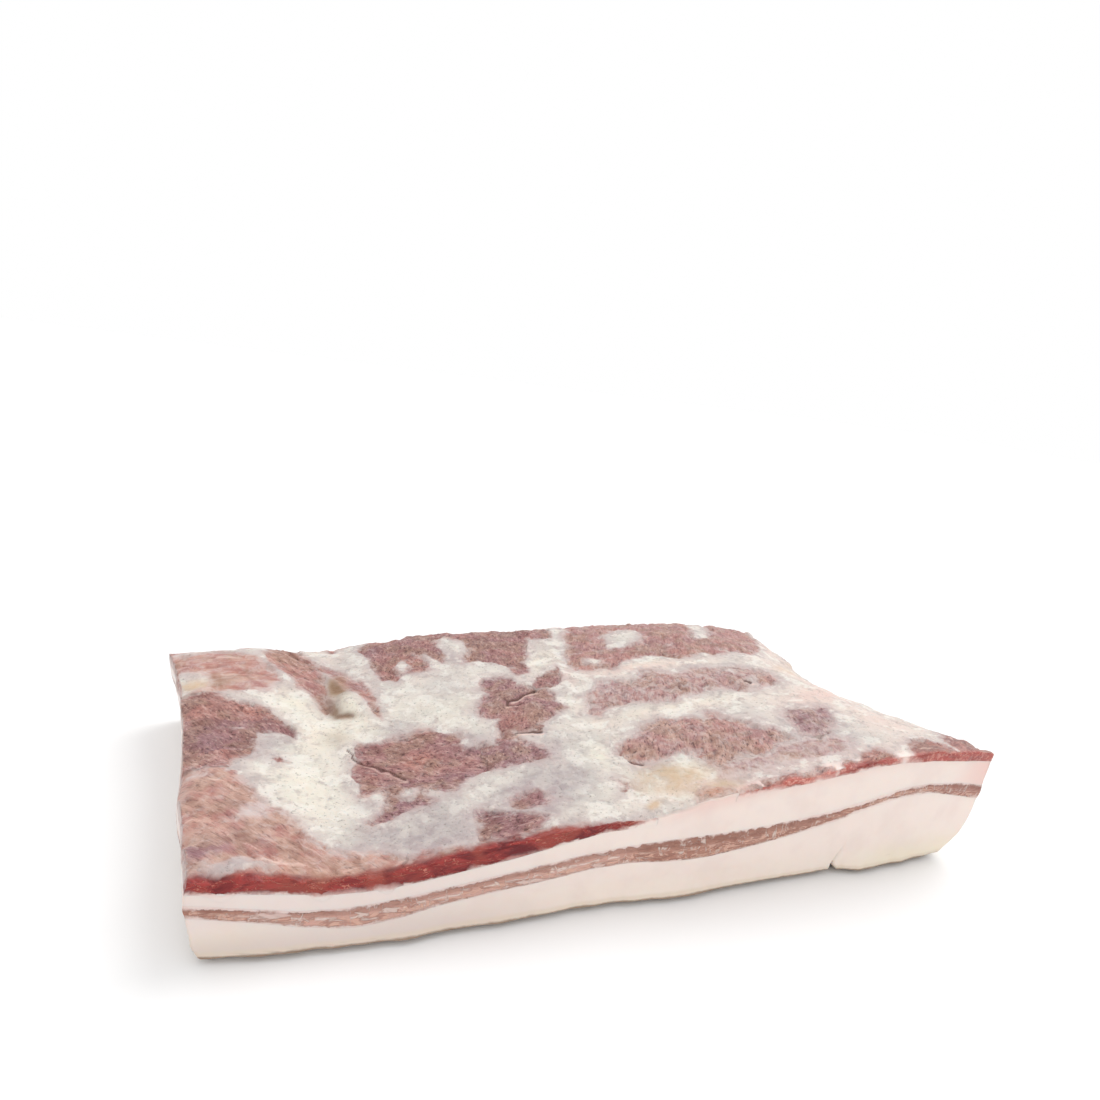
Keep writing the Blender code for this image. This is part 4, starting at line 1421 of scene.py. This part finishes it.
def dry_lean_group():
    nodes = group("dry_lean",
                  {"Fibre": None, "Place": None, "Tone": 0.5, "Dark": 0.0, "Veil": 0.0,
                   "Depth": 5.0, "Calm": 0.0},
                  {"Color": COLOUR, "Roughness": NUMBER, "Height": NUMBER})
    given, place, fibre = nodes.given, nodes.given["Place"], nodes.given["Fibre"]
    grain, times, plus = nodes.grain, nodes.times, nodes.plus
    between, centred, mix, wash = nodes.between, nodes.centred, nodes.mix, nodes.wash
    strands = grain(fibre, 2.0, 5.0, 0.7, (1, 1, 1), 0.25)
    crumbs = grain(fibre, 0.8, 4.0, 0.65)
    rough = nodes.minus(1.0, given["Calm"])
    half_rough = nodes.line(given["Calm"], -0.55, 1.0)
    drift = centred(grain(place, 12.0, 1.0), 1.4)
    base = mix(plus(given["Tone"], drift, clamp=True), MAUVE_LEAN, RED_LEAN)
    base = wash(base, grain(place, 8.0, 2.0), 0.44, 0.6, 0.75, BROWN_LEAN)
    base = mix(times(between(strands, 0.51, 0.64, 0.0, 0.58), half_rough), base, PALE_STRAND)
    base = mix(times(between(strands, 0.49, 0.36, 0.0, 0.7), rough), base, DARK_STRAND)
    blotch = centred(grain(place, 4.5, 3.0, 0.55, (1, 1, 1), 0.5), 1.8)
    shade = nodes.line(given["Dark"], 0.6, blotch)
    base = wash(base, shade, 0.0, 0.7, 0.75, (126, 80, 78))
    base = wash(base, shade, 0.0, -0.6, 0.65, (206, 170, 154))
    base = mix(times(between(crumbs, 0.46, 0.36, 0.0, 0.85), rough), base, (84, 48, 46))
    base = mix(times(between(crumbs, 0.58, 0.68, 0.0, 0.5), rough), base, (226, 196, 184))
    film = centred(grain(place, 3.4, 5.0, 0.64, (1, 1, 1), 0.8), 1.9)
    rim = between(given["Depth"], 3.2, 0.2, 0.0, 0.34)
    base = wash(base, plus(plus(given["Veil"], rim), film), 0.1, 1.0, 0.9, (208, 192, 188))
    height = times(plus(times(strands, 0.7), times(crumbs, 0.5)), half_rough)
    return hand_out(nodes, Color=base, Roughness=nodes.line(crumbs, 0.3, 0.34), Height=height)


DRY_LEAN = dry_lean_group()

# %% [markdown]
# Fresh lean
#
# Where the knife has just been, the lean is moist and deep red, crossed by short pale threads.
# A thread is where a noise passes through its middle value, so it comes out thin and wandering.
# Past the middle of the cut the lean is a film so thin that the fat shines through.

# %% Fresh lean group
DEEP_RED, BRIGHT_RED = (106, 28, 32), (160, 58, 54)


def fresh_lean_group():
    nodes = group("fresh_lean", {"Place": None, "Thin": 0.0},
                  {"Color": COLOUR, "Height": NUMBER})
    place, thin = nodes.given["Place"], nodes.given["Thin"]
    grain, times, between, mix = nodes.grain, nodes.times, nodes.between, nodes.mix
    cloud = grain(place, 3.0, 4.0, 0.6, (0.45, 1, 1.2), 0.6)
    threads = grain(place, 3.0, 2.0, 0.55, (0.4, 1, 1.3), 1.8)
    base = mix(between(cloud, 0.36, 0.64), DEEP_RED, BRIGHT_RED)
    base = nodes.wash(base, grain(place, 9.0, 2.0, 0.5), 0.5, 0.66, 0.7, (160, 74, 62))
    ridge = nodes.size_of(nodes.minus(threads, 0.5))
    thread = times(between(ridge, 0.03, 0.004), between(cloud, 0.48, 0.58))
    base = mix(times(thread, 0.8), base, (222, 142, 124))
    crumb = times(between(grain(place, 1.3, 4.0, 0.65), 0.5, 0.6), thin)
    base = mix(times(thin, 0.6), base, (212, 122, 110))
    base = mix(times(crumb, 0.6), base, (238, 182, 168))
    return hand_out(nodes, Color=base, Height=nodes.plus(cloud, times(thread, 0.4)))


FRESH_LEAN = fresh_lean_group()

# %% [markdown]
# Pale streak
#
# The streak in the fat is thin muscle: brownish pink bundles a few millimetres long, parted by
# fine white lines, with a longer white line along its middle in the thin half. The gaps come
# out as a mask of their own, and the material lets the fat show through them.

# %% Streak group


def streak_group():
    nodes = group("pale_streak", {"Place": None, "Middle": 0.0, "Tone": 0.0, "Broken": 0.0},
                  {"Color": COLOUR, "Gap": NUMBER, "Height": NUMBER})
    given, place, broken = nodes.given, nodes.given["Place"], nodes.given["Broken"]
    grain, times, between, mix = nodes.grain, nodes.times, nodes.between, nodes.mix
    cloud = grain(place, 2.4, 4.0, 0.65, (0.4, 1, 1.0), 0.5)
    bundle = grain(place, 2.2, 3.0, 0.55, (0.3, 0.5, 1.2), 1.0)
    parting = grain(place, 3.4, 2.0, 0.5, (1.0, 0.3, 0.35), 0.6)
    base = mix(between(cloud, 0.36, 0.64), (147, 101, 85), (184, 137, 119))
    base = mix(times(given["Tone"], 0.6), base, (152, 92, 82))
    base = mix(times(broken, between(bundle, 0.4, 0.62, 0.4, 0.9)), base, (214, 170, 158))
    rise = nodes.plus(given["Middle"], nodes.centred(bundle, 2.6))
    base = nodes.wash(base, rise, 0.5, 1.3, 0.45, (140, 98, 84))
    thread = between(nodes.size_of(nodes.centred(bundle, 1.0)), 0.045, 0.008)
    thread = times(thread, between(rise, 0.9, -0.4, 0.1, 0.8))
    base = mix(thread, base, (220, 179, 161))
    line = times(between(nodes.size_of(rise), 0.55, 0.1), between(parting, 0.44, 0.56))
    line = times(line, broken)
    holes = between(nodes.minus(bundle, nodes.line(broken, 0.07, 0.31)), 0.05, -0.03)
    cross = between(nodes.size_of(nodes.centred(parting, 1.0)), 0.035, 0.008)
    cross = times(cross, between(cloud, 0.48, 0.58))
    gap = nodes.maths("MAXIMUM", nodes.maths("MAXIMUM", line, holes), cross)
    return hand_out(nodes, Color=base, Gap=times(gap, 0.62), Height=cloud)


PALE_STREAK = streak_group()

# %% [markdown]
# Fat
#
# Cut fat is smooth, waxy and nearly white with a breath of pink. On the rib side it has dried:
# cream, grey and lavender patches, small dark specks, and yellow stains near the edges.
# At the bottom of the cut a thin tan line is the rind. One group makes both, and Top says how
# far a point belongs to the dry side.

# %% Fat group
WAX_RIGHT, WAX_LEFT, WAX_CLOUD = (238, 223, 215), (229, 215, 210), (229, 211, 204)
DRY_GREY, DRY_PALE, DRY_CREAM = (198, 191, 184), (214, 206, 197), (226, 219, 204)
RIND_RIM, RIND_TAN = (218, 203, 184), (146, 125, 107)


def cut_fat(nodes, cloud, patch):
    """The colour of the fresh cut, from the wax at the top down to the line of rind."""
    given, mix, between = nodes.given, nodes.mix, nodes.between
    up = nodes.add("ShaderNodeSeparateXYZ", {0: given["Place"]}).outputs[2]
    cut = mix(given["Lavender"], WAX_RIGHT, WAX_LEFT)
    cut = nodes.wash(cut, cloud, 0.42, 0.66, 0.5, WAX_CLOUD)
    cut = mix(given["Pink"], cut, (231, 189, 181))
    height = nodes.line(nodes.centred(patch, 1.0), 6.0, up)
    low = between(height, 13.0, 1.0, 0.1, 1.0)
    cut = mix(nodes.times(low, nodes.line(given["Cream"], 0.6, 0.25)), cut, (231, 220, 197))
    foot = nodes.times(between(up, 9.0, 1.5, 0.0, 0.75), given["Lavender"])
    cut = mix(foot, cut, (204, 188, 184))
    skin = nodes.line(nodes.centred(patch, 1.0), 0.9, up)
    cut = nodes.wash(cut, skin, 3.6, 2.6, 0.6, RIND_RIM)
    return nodes.wash(cut, skin, 2.3, 1.7, 0.9, RIND_TAN)


def dry_fat(nodes, cloud, patch, fine):
    """The colour of the rib side: cream and lavender places, milky spots and dark specks."""
    given, mix, times, wash = nodes.given, nodes.mix, nodes.times, nodes.wash
    top = mix(nodes.between(cloud, 0.38, 0.62), DRY_GREY, DRY_PALE)
    top = mix(times(given["Cream"], 0.9), top, DRY_CREAM)
    grey = times(given["Lavender"], nodes.between(patch, 0.36, 0.58, 0.55, 1.0))
    top = mix(grey, top, (170, 158, 158))
    top = mix(times(given["Pink"], 0.85), top, (218, 190, 180))
    halo = nodes.plus(given["Depth"], nodes.centred(patch, 9.0))
    halo = nodes.between(halo, -6.0, -0.3, 0.0, 0.55)
    top = mix(times(halo, nodes.line(given["Cream"], -0.5, 1.0)), top, (180, 160, 160))
    top = wash(top, patch, 0.5, 0.7, 0.6, (166, 154, 151))
    milk = nodes.between(nodes.grain(given["Place"], 6.5, 4.0, 0.6), 0.5, 0.4, 0.0, 0.6)
    top = mix(times(milk, nodes.line(given["Lavender"], -0.75, 1.0)), top, (231, 226, 217))
    top = wash(top, fine, 0.42, 0.32, 0.62, (130, 120, 112))
    return wash(top, fine, 0.6, 0.74, 0.12, (240, 235, 228))


def fat_group():
    nodes = group("belly_fat",
                  {"Place": None, "Top": 0.0, "Yellow": 0.0, "Green": 0.0, "Cream": 0.0,
                   "Lavender": 0.0, "Pink": 0.0, "Seam": 0.0, "Depth": -9.0},
                  {"Color": COLOUR, "Roughness": NUMBER, "Height": NUMBER})
    given, place, dry = nodes.given, nodes.given["Place"], nodes.given["Top"]
    cloud = nodes.grain(place, 13.0, 3.0)
    patch = nodes.grain(place, 4.6, 5.0, 0.62, (1, 1, 1), 0.4)
    fine = nodes.grain(place, 1.0, 4.0, 0.65)
    base = nodes.mix(dry, cut_fat(nodes, cloud, patch), dry_fat(nodes, cloud, patch, fine))
    # Yellow: oxidised stains, and painted light on the wall of the crease at the cut
    yellow = nodes.line(nodes.centred(patch, 2.6), given["Yellow"], given["Yellow"])
    base = nodes.wash(base, yellow, 0.1, 1.2, 0.8, (207, 179, 148))
    # Green: an old stain, and painted shadow at the foot of the nub
    base = nodes.mix(nodes.times(given["Green"], 0.9), base, (128, 96, 71))
    rim = nodes.times(given["Seam"], nodes.line(dry, -0.25, 0.5))
    base = nodes.mix(rim, base, nodes.mix(dry, (212, 170, 163), (190, 168, 166)))
    rough = nodes.line(fine, 0.14, nodes.line(dry, 0.16, 0.34))
    height = nodes.times(nodes.plus(patch, nodes.times(fine, 0.3)), nodes.line(dry, 0.45, 0.08))
    return hand_out(nodes, Color=base, Roughness=rough, Height=height)


BELLY_FAT = fat_group()

# %% [markdown]
# One recipe, five finishes
#
# All layers share the groups, and each gets its own values: how ragged its border is, and how
# much light sinks into it. The streak has its own kind of lean. Light travels a short way into
# wet meat, and red light the furthest, so the shader scatters it below the surface.

# %% Materials
FOLD_SHADE_AND_RIND_BROWN, PALE_THREAD_AND_LIP_LIGHT = (90, 54, 46), (234, 202, 190)
TO_MILLIMETRES = (1000, 1000, 1000)
RED_GREEN_BLUE_REACH = (1.0, 0.55, 0.4)
SCATTER_METRES = 0.0014
BUMP_METRES = 0.0014


def meat(name, ragged, softness, sink_in, streaky=False):
    made = bpy.data.materials.new(name)
    made.use_nodes = True
    nodes = Recipe(made.node_tree)
    shader = made.node_tree.nodes["Principled BSDF"]
    metres = nodes.add("ShaderNodeTexCoord").outputs["Object"]
    place = nodes.add("ShaderNodeVectorMath", {0: metres, 1: TO_MILLIMETRES},
                      operation="MULTIPLY").outputs[0]
    known = {key: nodes.add("ShaderNodeAttribute", attribute_name=key).outputs["Fac"]
             for key in ATTRIBUTES}
    fibre = nodes.add("ShaderNodeAttribute", attribute_name="fibre").outputs["Vector"]

    def use(tree, *keys, **sockets):
        """Places a group and links the stored looks to the inputs of the same name."""
        sockets.update({key.title(): known[key] for key in keys}, Place=place)
        return nodes.add("ShaderNodeGroup", sockets, node_tree=tree).outputs

    border = use(LEAN_BORDER, Distance=known["lean"], Ragged=ragged, Softness=softness)
    fat = use(BELLY_FAT, "top", "yellow", "green", "cream", "lavender", "pink",
              Seam=border["Seam"], Depth=border["Depth"])
    dry = use(DRY_LEAN, "tone", "dark", "veil", "calm", Fibre=fibre, Depth=border["Depth"])
    share = border["Lean"]
    if streaky:
        fresh = use(PALE_STREAK, "middle", "tone", Broken=known["veil"])
        share = nodes.times(share, nodes.minus(1.0, fresh["Gap"]))
    else:
        fresh = use(FRESH_LEAN, Thin=known["middle"])
    is_fresh = known["fresh"]
    lean = nodes.mix(is_fresh, dry["Color"], fresh["Color"])
    # Green over the lean: painted shadow at the foot of the nub, and an old stain
    lean = nodes.mix(nodes.times(known["green"], 0.5), lean, (122, 88, 66))
    lean = nodes.mix(nodes.times(known["yellow"], 0.3), lean, (206, 160, 122))
    colour = nodes.mix(share, fat["Color"], lean)
    # Painted shade in the cracks and in the mouth of the crease, and the tan lines of the rind
    colour = nodes.wash(colour, known["crack"], 0.12, 0.8, 0.85, FOLD_SHADE_AND_RIND_BROWN)
    # Pale threads and seams, and the painted highlight on the lip in front of each crack
    colour = nodes.wash(colour, known["crack"], -0.1, -0.8, 0.7, PALE_THREAD_AND_LIP_LIGHT)
    rough = nodes.mix_number(share, fat["Roughness"], nodes.line(is_fresh, -0.16, dry["Roughness"]))
    lean_height = nodes.mix_number(is_fresh, dry["Height"], fresh["Height"])
    height = nodes.mix_number(share, fat["Height"], lean_height)
    bump = nodes.add("ShaderNodeBump",
                     {"Height": height, "Strength": 0.8, "Distance": BUMP_METRES})
    for label, source in (("Base Color", colour), ("Roughness", rough),
                          ("Normal", bump.outputs[0])):
        nodes.tree.links.new(source, shader.inputs[label])
    shader.inputs["Subsurface Weight"].default_value = sink_in
    shader.inputs["Subsurface Radius"].default_value = RED_GREEN_BLUE_REACH
    shader.inputs["Subsurface Scale"].default_value = SCATTER_METRES
    shader.inputs["IOR"].default_value = 1.45
    shader.inputs["Specular IOR Level"].default_value = 0.36
    return made


finishes = {
    "lower_fat_layer": ("lower_fat", "back_fat", meat("waxy_fat", 0.3, 0.15, 0.4)),
    "streak_layer": ("lean_streak", "streak_lean", meat("streak_lean", 0.55, 0.14, 0.3, True)),
    "upper_fat_layer": ("upper_fat", "seam_fat", meat("seam_fat", 0.6, 0.5, 0.4)),
    "left_lean_layer": ("lean_left", "belly_lean", meat("belly_lean", 0.6, 0.52, 0.25)),
    "right_lean_layer": ("lean_right", "rib_lean", meat("rib_lean", 0.75, 0.62, 0.3)),
}
for name, (node, slot, finish) in finishes.items():
    piece = pieces[name]
    piece.data.materials.append(finish)
    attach(piece, "root")
    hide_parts(node)
    print(name, "wears", finish.name)

# %% [markdown]
# Table and light
#
# The photo is high key: a white ground and soft light from above, so shadows stay faint. White
# paper lies just under the piece, a bright room lights it from all round, and one broad window
# gives the forms their shade.

# %% Stage
FLOOR_REACH = 4
FLOOR_DROP = 0.0003
SUN_SPREAD, SUN_STRENGTH, SUN_WAY = 35, 1.1, (-0.75, -0.45, -1.0)

square = [(a * FLOOR_REACH, b * FLOOR_REACH, 0) for a, b in ((-1, -1), (1, -1), (1, 1), (-1, 1))]
floor_mesh = bpy.data.meshes.new("studio_floor")
floor_mesh.from_pydata(square, [], [(0, 1, 2, 3)])
floor = bpy.data.objects.new("studio_floor", floor_mesh)
bpy.context.scene.collection.objects.link(floor)
floor.location.z = -FLOOR_DROP
paper = bpy.data.materials.new("white_paper")
paper.use_nodes = True
paper_shader = paper.node_tree.nodes["Principled BSDF"].inputs
paper_shader["Base Color"].default_value = (0.9, 0.9, 0.9, 1)
paper_shader["Roughness"].default_value = 0.7
floor_mesh.materials.append(paper)

world = bpy.data.worlds.new("soft_room")
world.use_nodes = True
room = world.node_tree.nodes["Background"].inputs
room["Color"].default_value = (1, 1, 1, 1)
room["Strength"].default_value = 1.0
bpy.context.scene.world = world

window = bpy.data.lights.new("window_light", "SUN")
window.angle = math.radians(SUN_SPREAD)
window.energy = SUN_STRENGTH
lamp = bpy.data.objects.new("window_light", window)
bpy.context.scene.collection.objects.link(lamp)
lamp.rotation_euler = Vector(SUN_WAY).to_track_quat("-Z", "Y").to_euler()
bpy.context.scene.view_settings.view_transform = "Standard"
print("window light spreads over", SUN_SPREAD, "degrees")
